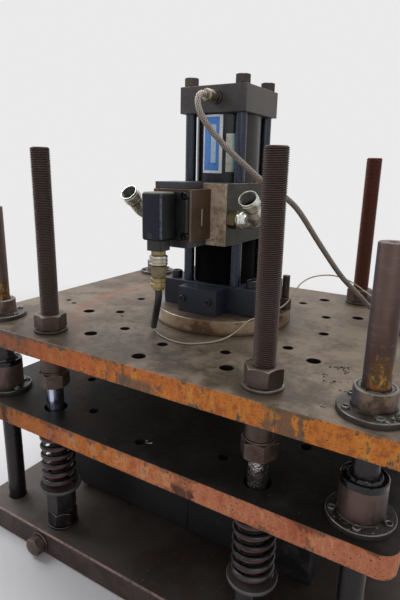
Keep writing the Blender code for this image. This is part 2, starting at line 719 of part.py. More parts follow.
def make_cap(steel):
    cap = block("cylinder_cap", (-CAP_HALF_SIDE, -CAP_HALF_SIDE, CAP_BOTTOM),
                (CAP_HALF_SIDE, CAP_HALF_SIDE, CAP_TOP), steel)
    bevel(cap, HEAD_EDGE_BREAK)
    holes = corner_holes(STAY_OFFSET, STAY_OFFSET, STAY_RADIUS + FACE_GAP, HEX_SEGMENTS)
    combine(cap, drills("cap_drills", holes, CAP_BOTTOM, CAP_TOP), "DIFFERENCE")


def make_stay(corner, sides, steel):
    """A stay bolt of the cylinder, from the head's top through the cap to its nut."""
    nut = CAP_TOP + FACE_GAP
    profile = stacked(
        round_section((STAY_RADIUS, HEAD_TOP + FACE_GAP), (STAY_RADIUS, nut)),
        hex_section(STAY_NUT_ACROSS_FLATS, nut, nut + STAY_NUT_HEIGHT))
    location = (sides[0] * STAY_OFFSET, sides[1] * STAY_OFFSET, 0)
    revolve(f"cylinder_stay_{corner}", profile, HEX_SEGMENTS, steel, location, bored=False)


def make_piston_rod(steel, carriage):
    """The piston, its rod and the round flange that stands on the platen."""
    bottom = PLATEN_TOP + FACE_GAP
    flange = bottom + ROD_FLANGE_HEIGHT
    edge = ROD_FLANGE_BREAK
    top = TUBE_BOTTOM + TUBE_LENGTH - PISTON_TOP_MARGIN
    crown = top - PISTON_HEIGHT
    radius = TUBE_BORE_RADIUS - PISTON_CLEARANCE
    profile = round_section(
        (ROD_FLANGE_RADIUS, bottom), (ROD_FLANGE_RADIUS, flange - edge),
        (ROD_FLANGE_RADIUS - edge, flange), (PISTON_ROD_RADIUS, flange),
        (PISTON_ROD_RADIUS, crown), (radius, crown), (radius, top))
    rod = revolve("piston_rod", profile, TUBE_SEGMENTS, steel, bored=False)
    attach(rod, carriage)


def make_manifold(steel):
    """The ported block that the tube and its stays pass through."""
    manifold = block("manifold", (-CAP_HALF_SIDE, MANIFOLD_FRONT, MANIFOLD_BOTTOM),
                     (CAP_HALF_SIDE, CAP_HALF_SIDE, MANIFOLD_TOP), steel)
    bevel(manifold, MANIFOLD_EDGE_BREAK)
    holes = corner_holes(STAY_OFFSET, STAY_OFFSET, STAY_RADIUS + FACE_GAP, HEX_SEGMENTS)
    holes.append((0, 0, TUBE_RADIUS + FACE_GAP, TUBE_SEGMENTS))
    tool = drills("manifold_drills", holes, MANIFOLD_BOTTOM, MANIFOLD_TOP)
    combine(manifold, tool, "DIFFERENCE")


def make_valve_body(steel):
    """The servo valve's body with its lid above and its sole below."""
    back = MANIFOLD_FRONT - FACE_GAP
    lid_front = VALVE_FRONT + VALVE_LID_SETBACK
    body = block("valve_body", (VALVE_LEFT, VALVE_FRONT, VALVE_BOTTOM),
                 (VALVE_RIGHT, back, VALVE_TOP), steel)
    bevel(body, VALVE_EDGE_BREAK)
    lid = block("valve_lid", (VALVE_LEFT, lid_front, VALVE_TOP - FUSE_DEPTH),
                (VALVE_LID_RIGHT, back, VALVE_TOP + VALVE_LID_THICKNESS), None)
    sole = block("valve_sole", (VALVE_LEFT + VALVE_LID_SETBACK, lid_front,
                                VALVE_BOTTOM - VALVE_LID_THICKNESS),
                 (VALVE_SOLE_RIGHT, back, VALVE_BOTTOM + FUSE_DEPTH), None)
    combine(body, lid, "UNION")
    combine(body, sole, "UNION")


def make_valve_cover(plastic):
    """The moulded cover in front of the valve, with its screwed flange and cable neck."""
    back = VALVE_FRONT - FACE_GAP
    outline = rounded_outline(COVER_LEFT, COVER_RIGHT, COVER_FRONT, back, COVER_CORNER)
    cover = prism("valve_cover", outline, COVER_BOTTOM, COVER_TOP, plastic)
    bevel(cover, COVER_EDGE_BREAK, 2)
    flange = block("cover_flange", (COVER_LEFT - COVER_FLANGE_WIDTH / 2,
                                    back - COVER_FLANGE_DEPTH, COVER_BOTTOM),
                   (COVER_RIGHT + COVER_FLANGE_WIDTH, back, COVER_TOP), None)
    neck_outline = rounded_outline(
        CONNECTOR_X - NECK_HALF_LENGTH, CONNECTOR_X + NECK_HALF_LENGTH,
        CONNECTOR_Y - NECK_HALF_DEPTH, CONNECTOR_Y + NECK_HALF_DEPTH, NECK_CORNER)
    neck = prism("cover_neck", neck_outline, NECK_BOTTOM, COVER_BOTTOM + COVER_CORNER, None)
    combine(cover, flange, "UNION")
    combine(cover, neck, "UNION")


def make_connector(metal):
    """The round coupling under the valve cover, with its cable clamp."""
    profile = shares_section(CONNECTOR_PROFILE_SHARES, CONNECTOR_RADIUS, CONNECTOR_LENGTH)
    location = (CONNECTOR_X, CONNECTOR_Y, NECK_BOTTOM - FACE_GAP)
    connector = revolve("valve_connector", profile, ROUND_SEGMENTS, metal, location,
                        bored=False)
    connector.rotation_euler = (pi, 0, 0)


def make_gland(metal):
    """The sensor gland on the front of the cylinder cap."""
    profile = shares_section(GLAND_PROFILE_SHARES, GLAND_RADIUS, GLAND_LENGTH)
    location = (GLAND_X, -CAP_HALF_SIDE - FACE_GAP, GLAND_HEIGHT)
    gland = revolve("sensor_gland", profile, HEX_SEGMENTS, metal, location, bored=False)
    gland.rotation_euler = (pi / 2, 0, 0)


def elbow_stations(side):
    """Centre, direction and section of each ring along an elbow, from port to mouth."""
    across = Vector((side, 0, 0))
    up = Vector((0, -cos(ELBOW_TILT), sin(ELBOW_TILT)))
    start = Vector((side * (CAP_HALF_SIDE + FACE_GAP), PORT_Y, PORT_Z))
    hexagon = hex_section(ELBOW_HEX_ACROSS_FLATS, 0, 0)
    stations = [(start, across, lambda angle: hexagon(angle)[1][0])]
    centre = start + across * ELBOW_HEX_LENGTH
    stations.append((centre, across, lambda angle: hexagon(angle)[1][0]))
    stations.append((centre, across, lambda angle: ELBOW_NECK_RADIUS))
    centre = centre + across * ELBOW_NECK_LENGTH
    stations.append((centre, across, lambda angle: ELBOW_NECK_RADIUS))
    stations.append((centre, across, lambda angle: ELBOW_TUBE_RADIUS))
    for step in range(1, ELBOW_BEND_STEPS + 1):
        turn = pi / 2 * step / ELBOW_BEND_STEPS
        point = centre + ELBOW_BEND_RADIUS * (across * sin(turn) + up * (1 - cos(turn)))
        direction = across * cos(turn) + up * sin(turn)
        stations.append((point, direction, lambda angle: ELBOW_TUBE_RADIUS))
    bend_end = centre + ELBOW_BEND_RADIUS * (across + up)
    mouth = bend_end + up * ELBOW_LEG_LENGTH
    collar = mouth - up * ELBOW_MOUTH_LENGTH
    lip = ELBOW_MOUTH_RADIUS - ELBOW_MOUTH_BREAK
    stations.append((collar, up, lambda angle: ELBOW_TUBE_RADIUS))
    stations.append((collar, up, lambda angle: ELBOW_MOUTH_RADIUS))
    stations.append((mouth - up * ELBOW_MOUTH_BREAK, up, lambda angle: ELBOW_MOUTH_RADIUS))
    stations.append((mouth, up, lambda angle: lip))
    stations.append((mouth, up, lambda angle: ELBOW_BORE_RADIUS))
    stations.append((mouth - up * ELBOW_BORE_DEPTH, up, lambda angle: ELBOW_BORE_RADIUS))
    return stations, across.cross(up)


def make_elbow(name, side, metal):
    """An open elbow fitting, screwed in the manifold's side and turned up to the front."""
    stations, normal = elbow_stations(side)
    vertices = []
    for centre, direction, radius_at in stations:
        second = direction.cross(normal)
        for step in range(ELBOW_SEGMENTS):
            angle = 2 * pi * step / ELBOW_SEGMENTS
            offset = normal * cos(angle) + second * sin(angle)
            vertices.append(tuple(centre + offset * radius_at(angle)))
    faces = []
    for ring in range(len(stations) - 1):
        here = ring * ELBOW_SEGMENTS
        there = here + ELBOW_SEGMENTS
        for step in range(ELBOW_SEGMENTS):
            after = (step + 1) % ELBOW_SEGMENTS
            faces.append((here + step, there + step, there + after, here + after))
    last = (len(stations) - 1) * ELBOW_SEGMENTS
    faces.append(tuple(range(ELBOW_SEGMENTS)))
    faces.append(tuple(range(last, last + ELBOW_SEGMENTS)))
    solid(name, vertices, faces, metal)


def smooth_route(points, spacing):
    """Points at an even spacing on a smooth curve through a cord's route."""
    route = [Vector(point) for point in points]
    route = [2 * route[0] - route[1]] + route + [2 * route[-1] - route[-2]]
    fine = []
    for i in range(1, len(route) - 2):
        before, start, end, after = route[i - 1:i + 3]
        for step in range(24):
            t = step / 24
            fine.append(0.5 * (2 * start + (end - before) * t
                               + (2 * before - 5 * start + 4 * end - after) * t ** 2
                               + (3 * start - before - 3 * end + after) * t ** 3))
    fine.append(route[-2])
    lengths = [0]
    for first, second in zip(fine, fine[1:]):
        lengths.append(lengths[-1] + (second - first).length)
    count = ceil(lengths[-1] / spacing)
    result = []
    index = 0
    for step in range(count + 1):
        target = lengths[-1] * step / count
        while index < len(fine) - 2 and lengths[index + 1] < target:
            index += 1
        span = lengths[index + 1] - lengths[index]
        result.append(fine[index].lerp(fine[index + 1], (target - lengths[index]) / span))
    return result


def cord(name, points, diameter, spacing, material):
    """A round cord along a route, as a bevelled curve with closed ends."""
    curve = bpy.data.curves.new(name, "CURVE")
    curve.dimensions = "3D"
    curve.bevel_depth = diameter / 2
    curve.bevel_resolution = 2
    curve.use_fill_caps = True
    curve.materials.append(material)
    route = smooth_route(points, spacing)
    route.insert(1, route[0].lerp(Vector(points[1]), CORD_END_SHARE))
    route.insert(-1, route[-1].lerp(Vector(points[-2]), CORD_END_SHARE))
    spline = curve.splines.new("POLY")
    spline.points.add(len(route) - 1)
    for point, position in zip(spline.points, route):
        point.co = (*position, 1)
    obj = bpy.data.objects.new(name, curve)
    bpy.context.scene.collection.objects.link(obj)


def coil(name, middle_radius, diameter, turns_across, layers, material):
    """The outer shape of a round coil of cord that lies on the top plate."""
    half = turns_across * diameter / 2
    bottom = TOP_PLATE_TOP + FACE_GAP
    top = bottom + layers * diameter
    corner = diameter / 3
    profile = round_section(
        (middle_radius - half, bottom), (middle_radius + half - corner, bottom),
        (middle_radius + half, bottom + corner), (middle_radius + half, top - corner),
        (middle_radius + half - corner, top), (middle_radius - half, top))
    revolve(name, profile, COIL_SEGMENTS, material, (COILS_X, COILS_Y, 0))


def make_cords(rubber, braid, thin_wire, metal):
    hose_step = HOSE_STEP_DIAMETERS * HOSE_DIAMETER
    lead_step = LEAD_STEP_DIAMETERS * LEAD_DIAMETER
    cord("valve_cable", CABLE_ROUTE, CABLE_DIAMETER, hose_step, rubber)
    cord("sensor_hose", HOSE_ROUTE, HOSE_DIAMETER, hose_step, braid)
    coil("sensor_hose_coil", HOSE_COIL_MIDDLE_RADIUS, HOSE_DIAMETER, 2, 2, braid)
    cord("thin_lead", LEAD_ROUTE, LEAD_DIAMETER, lead_step, thin_wire)
    coil("thin_lead_coil", LEAD_COIL_MIDDLE_RADIUS, LEAD_DIAMETER, 3, 3, thin_wire)
    reach = HOSE_COIL_MIDDLE_RADIUS + HOSE_DIAMETER + PLUG_RADIUS + FACE_GAP
    location = (COILS_X + reach * cos(PLUG_PLACE), COILS_Y + reach * sin(PLUG_PLACE),
                TOP_PLATE_TOP + FACE_GAP + PLUG_RADIUS)
    profile = shares_section(PLUG_PROFILE_SHARES, PLUG_RADIUS, PLUG_LENGTH)
    plug = revolve("sensor_plug", profile, HEX_SEGMENTS, metal, location, bored=False)
    plug.rotation_euler = (pi / 2, 0, PLUG_PLACE)


# Routes of the cords, from where each leaves its piece
CABLE_ROUTE = (
    (-0.0080, -0.2360, 0.6124),
    (-0.0080, -0.2360, 0.5990),
    (-0.0150, -0.2310, 0.5780),
    (-0.0300, -0.2160, 0.5540),
    (-0.0480, -0.1960, 0.5330),
    (-0.0620, -0.1790, 0.5180),
)
HOSE_ROUTE = (
    (0.0085, -0.1136, 0.9600),
    (0.0085, -0.1260, 0.9600),
    (0.0090, -0.1370, 0.9530),
    (0.0110, -0.1410, 0.9380),
    (0.0190, -0.1380, 0.9180),
    (0.0360, -0.1310, 0.8930),
    (0.0620, -0.1190, 0.8640),
    (0.0900, -0.1060, 0.8370),
    (0.1180, -0.0890, 0.8100),
    (0.1390, -0.0690, 0.7910),
    (0.1560, -0.0440, 0.7740),
    (0.1710, -0.0140, 0.7480),
    (0.1990, 0.0400, 0.6820),
    (0.2330, 0.0850, 0.6170),
    (0.2600, 0.1150, 0.5790),
    (0.2740, 0.1310, 0.5600),
    (0.2840, 0.1440, 0.5450),
    (0.2900, 0.1560, 0.5310),
    (0.2977, 0.1645, 0.5210),
    (0.3075, 0.1628, 0.5195),
)
LEAD_ROUTE = (
    (-0.0620, -0.1790, 0.5110),
    (-0.0520, -0.1860, 0.5100),
    (-0.0140, -0.2070, 0.5100),
    (0.0250, -0.2140, 0.5100),
    (0.0510, -0.2020, 0.5100),
    (0.0770, -0.1710, 0.5105),
    (0.0930, -0.1400, 0.5160),
    (0.1060, -0.1190, 0.5300),
    (0.1140, -0.1010, 0.5410),
    (0.1220, -0.0740, 0.5420),
    (0.1320, -0.0300, 0.5450),
    (0.1450, 0.0040, 0.5540),
    (0.1530, 0.0310, 0.5730),
    (0.1580, 0.0560, 0.5910),
    (0.1710, 0.0850, 0.6020),
    (0.1940, 0.1100, 0.6060),
    (0.2150, 0.1330, 0.6020),
    (0.2380, 0.1620, 0.5880),
    (0.2650, 0.1700, 0.5710),
    (0.2900, 0.1610, 0.5600),
    (0.3090, 0.1560, 0.5500),
    (0.3250, 0.1520, 0.5410),
    (0.3370, 0.1500, 0.5290),
    (0.3450, 0.1500, 0.5160),
    (0.3510, 0.1500, 0.5120),
    (0.3580, 0.1500, 0.5120),
)


def make_press():
    clear_scene()
    plate_steel = finish("plate_steel", (0.30, 0.26, 0.23), 0.55, 0.7)
    painted_edge = finish("orange_worn_plate", (0.52, 0.27, 0.12), 0.6, 0.3)
    rod_steel = finish("rod_steel", (0.17, 0.12, 0.11), 0.5, 0.8)
    nut_steel = finish("nut_steel", (0.16, 0.13, 0.12), 0.5, 0.8)
    spring_steel = finish("spring_steel", (0.10, 0.09, 0.09), 0.45, 0.8)
    post_steel = finish("post_steel", (0.24, 0.17, 0.14), 0.35, 0.9)
    bushing_steel = finish("bushing_steel", (0.25, 0.20, 0.18), 0.45, 0.8)
    dark_steel = finish("dark_block_steel", (0.05, 0.05, 0.055), 0.5, 0.5)
    disc_steel = finish("disc_steel", (0.27, 0.20, 0.15), 0.4, 0.8)
    black_paint = finish("black_cylinder_paint", (0.03, 0.032, 0.04), 0.45, 0.2)
    ground_rod = finish("ground_rod_steel", (0.5, 0.5, 0.5), 0.2, 1.0)
    brown_block = finish("manifold_steel", (0.12, 0.09, 0.075), 0.5, 0.6)
    valve_paint = finish("valve_body_anodised", (0.15, 0.09, 0.06), 0.45, 0.5)
    black_plastic = finish("valve_cover_plastic", (0.025, 0.026, 0.032), 0.4, 0.0)
    brass = finish("connector_nickel_brass", (0.42, 0.37, 0.26), 0.35, 0.9)
    zinc = finish("elbow_zinc", (0.62, 0.62, 0.56), 0.25, 1.0)
    rubber = finish("cable_rubber", (0.06, 0.06, 0.065), 0.6, 0.0)
    braid = finish("hose_braid", (0.28, 0.25, 0.22), 0.7, 0.1)
    beige = finish("lead_sheath", (0.55, 0.49, 0.36), 0.6, 0.0)

    carriage = bpy.data.objects.new("platen_slide_axis", None)
    carriage.location = (0, 0, PLATEN_BOTTOM)
    bpy.context.scene.collection.objects.link(carriage)

    make_base_plate(plate_steel)
    make_top_plate(painted_edge)
    make_platen(painted_edge, carriage)
    make_bolster(dark_steel)
    make_side_bolt(nut_steel)
    for corner, sides in CORNERS.items():
        make_tie_rod(corner, sides, rod_steel)
        make_top_nut(corner, sides, nut_steel)
        make_under_nut(corner, sides, nut_steel)
        make_spring_seat(corner, sides, nut_steel)
        make_spring(corner, sides, spring_steel)
        make_guide_post(corner, sides, post_steel)
        make_bushing(f"top_bushing_{corner}", sides, TOP_PLATE_BOTTOM, TOP_PLATE_TOP,
                     TOP_COLLAR_RADIUS, TOP_COLLAR_HEIGHT, bushing_steel)
        bushing = make_bushing(f"platen_bushing_{corner}", sides, PLATEN_BOTTOM, PLATEN_TOP,
                               PLATEN_COLLAR_RADIUS, PLATEN_COLLAR_HEIGHT, bushing_steel)
        attach(bushing, carriage)
        make_stay(corner, sides, black_paint)
    make_disc(disc_steel)
    make_head(black_paint)
    make_retainer(black_paint)
    make_tube(black_paint)
    make_cap(black_paint)
    make_piston_rod(ground_rod, carriage)
    make_manifold(brown_block)
    make_valve_body(valve_paint)
    make_valve_cover(black_plastic)
    make_connector(brass)
    make_elbow("elbow_left", -1, zinc)
    make_elbow("elbow_right", 1, zinc)
    make_gland(brass)
    make_cords(rubber, braid, beige, brass)


make_press()
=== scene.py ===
"""Looks of the hydraulic press: surfaces, threads, screws, cords, light and camera.

Lengths are in metres in the press's own frame. The origin is the centre of the base's
underside, +X runs along the front edge to the right, +Y to the back and +Z up.
"""
from math import asin, atan2, ceil, cos, hypot, pi, radians, sin, tan
from random import Random

import bpy
from mathutils import Matrix, Vector


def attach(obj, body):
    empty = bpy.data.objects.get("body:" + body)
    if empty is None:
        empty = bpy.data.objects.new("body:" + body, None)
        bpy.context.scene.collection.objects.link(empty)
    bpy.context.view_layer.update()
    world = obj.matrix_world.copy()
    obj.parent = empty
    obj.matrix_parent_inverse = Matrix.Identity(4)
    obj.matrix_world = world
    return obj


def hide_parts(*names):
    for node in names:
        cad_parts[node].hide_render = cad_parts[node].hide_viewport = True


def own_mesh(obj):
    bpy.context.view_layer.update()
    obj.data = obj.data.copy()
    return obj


# Camera, fitted to the plates, rods and posts
CAMERA_PLACE = (0.5014, -0.9325, 0.8281)
CAMERA_YAW, CAMERA_PITCH, CAMERA_ROLL = 0.5432, 0.2648, 0.0209
CAMERA_LENS, CAMERA_SENSOR = 29.07, 36

# Plates; a circle of holes is (reach from the middle, hole radius, angles)
FACE_GAP = 0.0003
PLATE_HALF_X, PLATE_HALF_Y = 0.458, 0.35
BASE_HALF_Y, BASE_TOP = 0.345, 0.055
PLATEN_BOTTOM, PLATEN_TOP = 0.2983, 0.3383
PLATE_BOTTOM, PLATE_TOP = 0.4683, 0.5083
INNER_CIRCLE = (0.2345, 0.01, range(0, 360, 30))
OUTER_CIRCLE = (0.306, 0.0125, [angle for angle in range(0, 360, 30) if angle % 180])
PLATEN_CIRCLE = (0.306, 0.01, OUTER_CIRCLE[2])
PLATEN_ROD_HOLE, PLATE_ROD_HOLE, BUSHING_HOLE, RAM_HOLE = 0.0235, 0.0195, 0.0273, 0.0295
BOLSTER_FOOT, BOLSTER_HALF, BOLSTER_LENGTH = 0.169, 0.185, 0.3
BOLSTER_BOTTOM, BOLSTER_STEP, BOLSTER_TOP = 0.0553, 0.0733, 0.1753

# Tie rods, springs and guide posts
ROD_X, ROD_Y, ROD_RADIUS = 0.2325, 0.295, 0.018
ROD_FOOT, ROD_TOP, SHANK_TOP = 0.007, 0.8603, 0.542
THREAD_PITCH, THREAD_DEPTH = 0.003, 0.0016
NUT_FLATS, NUT_HEIGHT, NUT_BORE = 0.055, 0.031, ROD_RADIUS + 0.0001
NUT_SPINS = {"front_right": 0.12, "front_left": -0.18, "back_right": 0.3, "back_left": 0.3}
WASHER_RADIUS, WASHER_THICKNESS, WASHER_EDGE = 0.033, 0.005, 0.0006
COUPLER_HEIGHT = 0.056
SEAT_RADIUS, SEAT_BOTTOM, SEAT_TOP = 0.044, 0.1473, 0.1573
SPRING_LENGTH, SPRING_RADIUS, WIRE_RADIUS = 0.141, 0.0322, 0.0058
SPRING_TRAVEL, SPRING_TURNS = 0.05, 5
POST_X, POST_Y, POST_RADIUS = 0.395, 0.287, 0.0195
POST_FOOT, POST_TOP = 0.005, 0.7443
FLANGE_RADIUS, FLANGE_HEIGHT = 0.051, 0.009

# Cylinder and valve
DISC_RADIUS, DISC_TOP = 0.15, 0.5386
HEAD_BOTTOM, HEAD_TOP = 0.5389, 0.5939
HEAD_HALF_X, CAP_HALF = 0.11, 0.073
TUBE_RADIUS, TUBE_BORE, TUBE_BOTTOM, TUBE_TOP = 0.0655, 0.0502, 0.5942, 0.9322
CAP_BOTTOM, CAP_TOP = 0.9325, 0.9825
STAY_OFFSET, STAY_RADIUS = 0.0565, 0.011
STAY_NUT_FLATS, STAY_NUT_HEIGHT = 0.027, 0.017
MANIFOLD_BOTTOM, MANIFOLD_TOP, MANIFOLD_FRONT = 0.687, 0.8025, -0.135
HOOD_SIDES, HOOD_HEIGHTS, HOOD_FLANGE = (-0.038, 0.036), (0.705, 0.788), (-0.2153, -0.2053)
HOOD_SCREWS = ((0.032, 0.711), (0.032, 0.782), (-0.034, 0.782), (-0.034, 0.711))
CONNECTOR = (-0.008, -0.236, 0.6857)
PORT_Y, PORT_HEIGHT, ELBOW_TILT = -0.12, 0.7375, radians(42)
ELBOW_NECK, ELBOW_BEND = 0.0355, 0.022

CORNERS = (("front_left", -1, -1), ("front_right", 1, -1), ("back_left", -1, 1),
           ("back_right", 1, 1))
SHARP_ANGLE = radians(32)
PALE_GRIT = (0.42, 0.36, 0.24)

# Cord routes, the same points as in the construction
CABLE_ROUTE = (
    (-0.008, -0.236, 0.6124), (-0.008, -0.236, 0.599), (-0.015, -0.231, 0.578),
    (-0.03, -0.216, 0.554), (-0.048, -0.196, 0.533), (-0.062, -0.179, 0.518))
HOSE_ROUTE = (
    (0.0085, -0.1136, 0.96), (0.0085, -0.126, 0.96), (0.009, -0.137, 0.953), (0.011, -0.141, 0.938),
    (0.019, -0.138, 0.918), (0.036, -0.131, 0.893), (0.062, -0.119, 0.864), (0.09, -0.106, 0.837),
    (0.118, -0.089, 0.81), (0.139, -0.069, 0.791), (0.156, -0.044, 0.774), (0.171, -0.014, 0.748),
    (0.199, 0.04, 0.682), (0.233, 0.085, 0.617), (0.26, 0.115, 0.579), (0.274, 0.131, 0.56),
    (0.284, 0.144, 0.545), (0.2945, 0.156, 0.5345), (0.308, 0.171, 0.5275))
LEAD_ROUTE = (
    (-0.062, -0.179, 0.511), (-0.052, -0.186, 0.51), (-0.014, -0.207, 0.51), (0.025, -0.214, 0.51),
    (0.051, -0.202, 0.51), (0.077, -0.171, 0.5105), (0.093, -0.14, 0.516), (0.106, -0.119, 0.53),
    (0.114, -0.101, 0.541), (0.122, -0.074, 0.542), (0.132, -0.03, 0.545), (0.145, 0.004, 0.554),
    (0.153, 0.031, 0.573), (0.158, 0.056, 0.591), (0.171, 0.085, 0.602), (0.194, 0.11, 0.606),
    (0.215, 0.133, 0.602), (0.238, 0.162, 0.588), (0.265, 0.17, 0.571), (0.29, 0.161, 0.56),
    (0.309, 0.156, 0.55), (0.325, 0.152, 0.541), (0.334, 0.154, 0.536), (0.344, 0.158, 0.526),
    (0.356, 0.1625, 0.5185))
COILS_AT, HOSE_COIL = (0.38, 0.15), 0.062
HOSE_DIAMETER, CABLE_DIAMETER, LEAD_DIAMETER = 0.011, 0.013, 0.003

finishes = {}


def operator(operation, reflected=False):
    """A method of Field that adds a Math node."""
    def method(self, *others):
        values = (*others, self) if reflected else (self, *others)
        return self.tree.node("ShaderNodeMath", {"operation": operation},
                              dict(enumerate(values)))
    return method


class Field:
    """A shader socket on which sums, products and powers add Math nodes."""
    __add__ = operator("ADD")
    __radd__ = operator("ADD", True)
    __sub__ = operator("SUBTRACT")
    __rsub__ = operator("SUBTRACT", True)
    __mul__ = operator("MULTIPLY")
    __rmul__ = operator("MULTIPLY", True)
    __truediv__ = operator("DIVIDE")
    __abs__ = operator("ABSOLUTE")
    power = operator("POWER")
    sine = operator("SINE")
    most = operator("MAXIMUM")
    least = operator("MINIMUM")

    def __init__(self, tree, socket):
        self.tree = tree
        self.socket = socket

    def step(self, low, high):
        """0 below low and 1 above high, with a smooth turn between. low may be the larger."""
        return self.tree.node("ShaderNodeMapRange", {"interpolation_type": "SMOOTHSTEP"},
                              {"Value": self, "From Min": low, "From Max": high})


class Tree:
    """The nodes of a material or of the world."""

    def __init__(self, owner):
        owner.use_nodes = True
        self.nodes = owner.node_tree.nodes
        self.links = owner.node_tree.links

    def node(self, kind, settings=None, sockets=None, output=0):
        """Adds a node: its settings first, then the values or links of its sockets."""
        node = self.nodes.new(kind)
        for key, value in (settings or {}).items():
            setattr(node, key, value)
        for key, value in (sockets or {}).items():
            self.feed(node.inputs[key], value)
        return Field(self, node.outputs[output])

    def feed(self, socket, value):
        if isinstance(value, Field):
            self.links.new(value.socket, socket)
        elif isinstance(value, tuple) and socket.type == "RGBA":
            socket.default_value = (*value, 1)
        else:
            socket.default_value = value

    def show(self, output, share, first, second):
        """The output shows a blend of a node that was there from the start and a new one."""
        base = Field(self, self.nodes[first].outputs[0])
        blend = self.node("ShaderNodeMixShader", None, {0: share, 1: base, 2: second})
        self.feed(self.nodes[output].inputs["Surface"], blend)


class Finish(Tree):
    """One material and the nodes that vary it over a surface."""

    def __init__(self, name):
        self.material = bpy.data.materials.new(name)
        super().__init__(self.material)
        finishes[name] = self.material

    def place(self):
        """Where a point is in the press's frame, at rest."""
        return self.node("ShaderNodeTexCoord", output="Object")

    def along(self, axis):
        return self.node("ShaderNodeSeparateXYZ", None, {0: self.place()}, axis)

    def facing(self, axis):
        """The surface's outward direction along an axis, from -1 to 1."""
        normal = self.node("ShaderNodeNewGeometry", output="Normal")
        return self.node("ShaderNodeSeparateXYZ", None, {0: normal}, axis)

    def broken_edge(self):
        """1 on the broken edges of a square-cut block and 0 on its flat faces."""
        flattest = abs(self.facing(0)).most(abs(self.facing(1))).most(abs(self.facing(2)))
        return flattest.step(0.985, 0.9)

    def from_rod(self):
        """The square of the distance to the nearest tie rod's axis."""
        x = abs(self.along(0)) - ROD_X
        y = abs(self.along(1)) - ROD_Y
        return x * x + y * y

    def noise(self, scale, detail=4, roughness=0.6, stretch=None):
        where = self.place()
        if stretch:
            where = self.node("ShaderNodeVectorMath", {"operation": "MULTIPLY"},
                              {0: where, 1: stretch})
        return self.node("ShaderNodeTexNoise", None, {
            "Vector": where, "Scale": scale, "Detail": detail, "Roughness": roughness})

    def layers(self, colour, *coats):
        """A colour with further tones laid over it, each (tone, share)."""
        for tone, share in coats:
            colour = self.node("ShaderNodeMix", {"data_type": "RGBA"},
                               {"Factor": share, 6: colour, 7: tone}, 2)
        return colour

    def set(self, colour, roughness, metallic=0.0, bump=None, **others):
        """Feeds the shader. bump is (height, strength, distance)."""
        values = {"Base Color": colour, "Roughness": roughness, "Metallic": metallic}
        if bump:
            sockets = dict(zip(("Height", "Strength", "Distance"), bump))
            values["Normal"] = self.node("ShaderNodeBump", None, sockets)
        names = {"coat": "Coat Weight", "coat_roughness": "Coat Roughness",
                 "specular": "Specular IOR Level"}
        values.update({names[key]: value for key, value in others.items()})
        for name, value in values.items():
            self.feed(self.nodes["Principled BSDF"].inputs[name], value)


def scaled(tone, factor):
    return tuple(factor * part for part in tone)


def aged_metal(finish, body, shade, rust, rusted, roughness, metallic, grain, pits, edge=None,
               under=None, square=False):
    """Metal with uneven tone, rust patches, fine pits and, if given, worn edges and a tone
    on its underside. square is for blocks, whose edges are worn on all sides."""
    broad = finish.noise(grain * 0.16)
    fine = finish.noise(grain, 4, 0.65)
    pit = finish.noise(grain * 6, 2)
    patches = (broad * 0.5 + fine * 0.5).step(0.62 - rusted * 0.22, 0.72 - rusted * 0.16)
    coats = [(shade, broad.step(0.36, 0.64)), (rust, patches * 0.8),
             (scaled(shade, 0.45), pit.step(0.6, 0.74) * 0.6)]
    if under:
        coats.append((under, finish.facing(2).step(0.2, -0.35) * 0.85))
    if edge:
        tilt = abs(finish.facing(2))
        worn = finish.broken_edge() if square else tilt.step(0.15, 0.45) * tilt.step(0.95, 0.75)
        coats.append((edge, worn * fine.step(0.25, 0.6)))
    finish.set(finish.layers(body, *coats), roughness + (fine - 0.5) * 0.25 + patches * 0.18,
               metallic - patches * 0.4, (fine * 0.6 + pit * 0.4, pits, 0.0006))


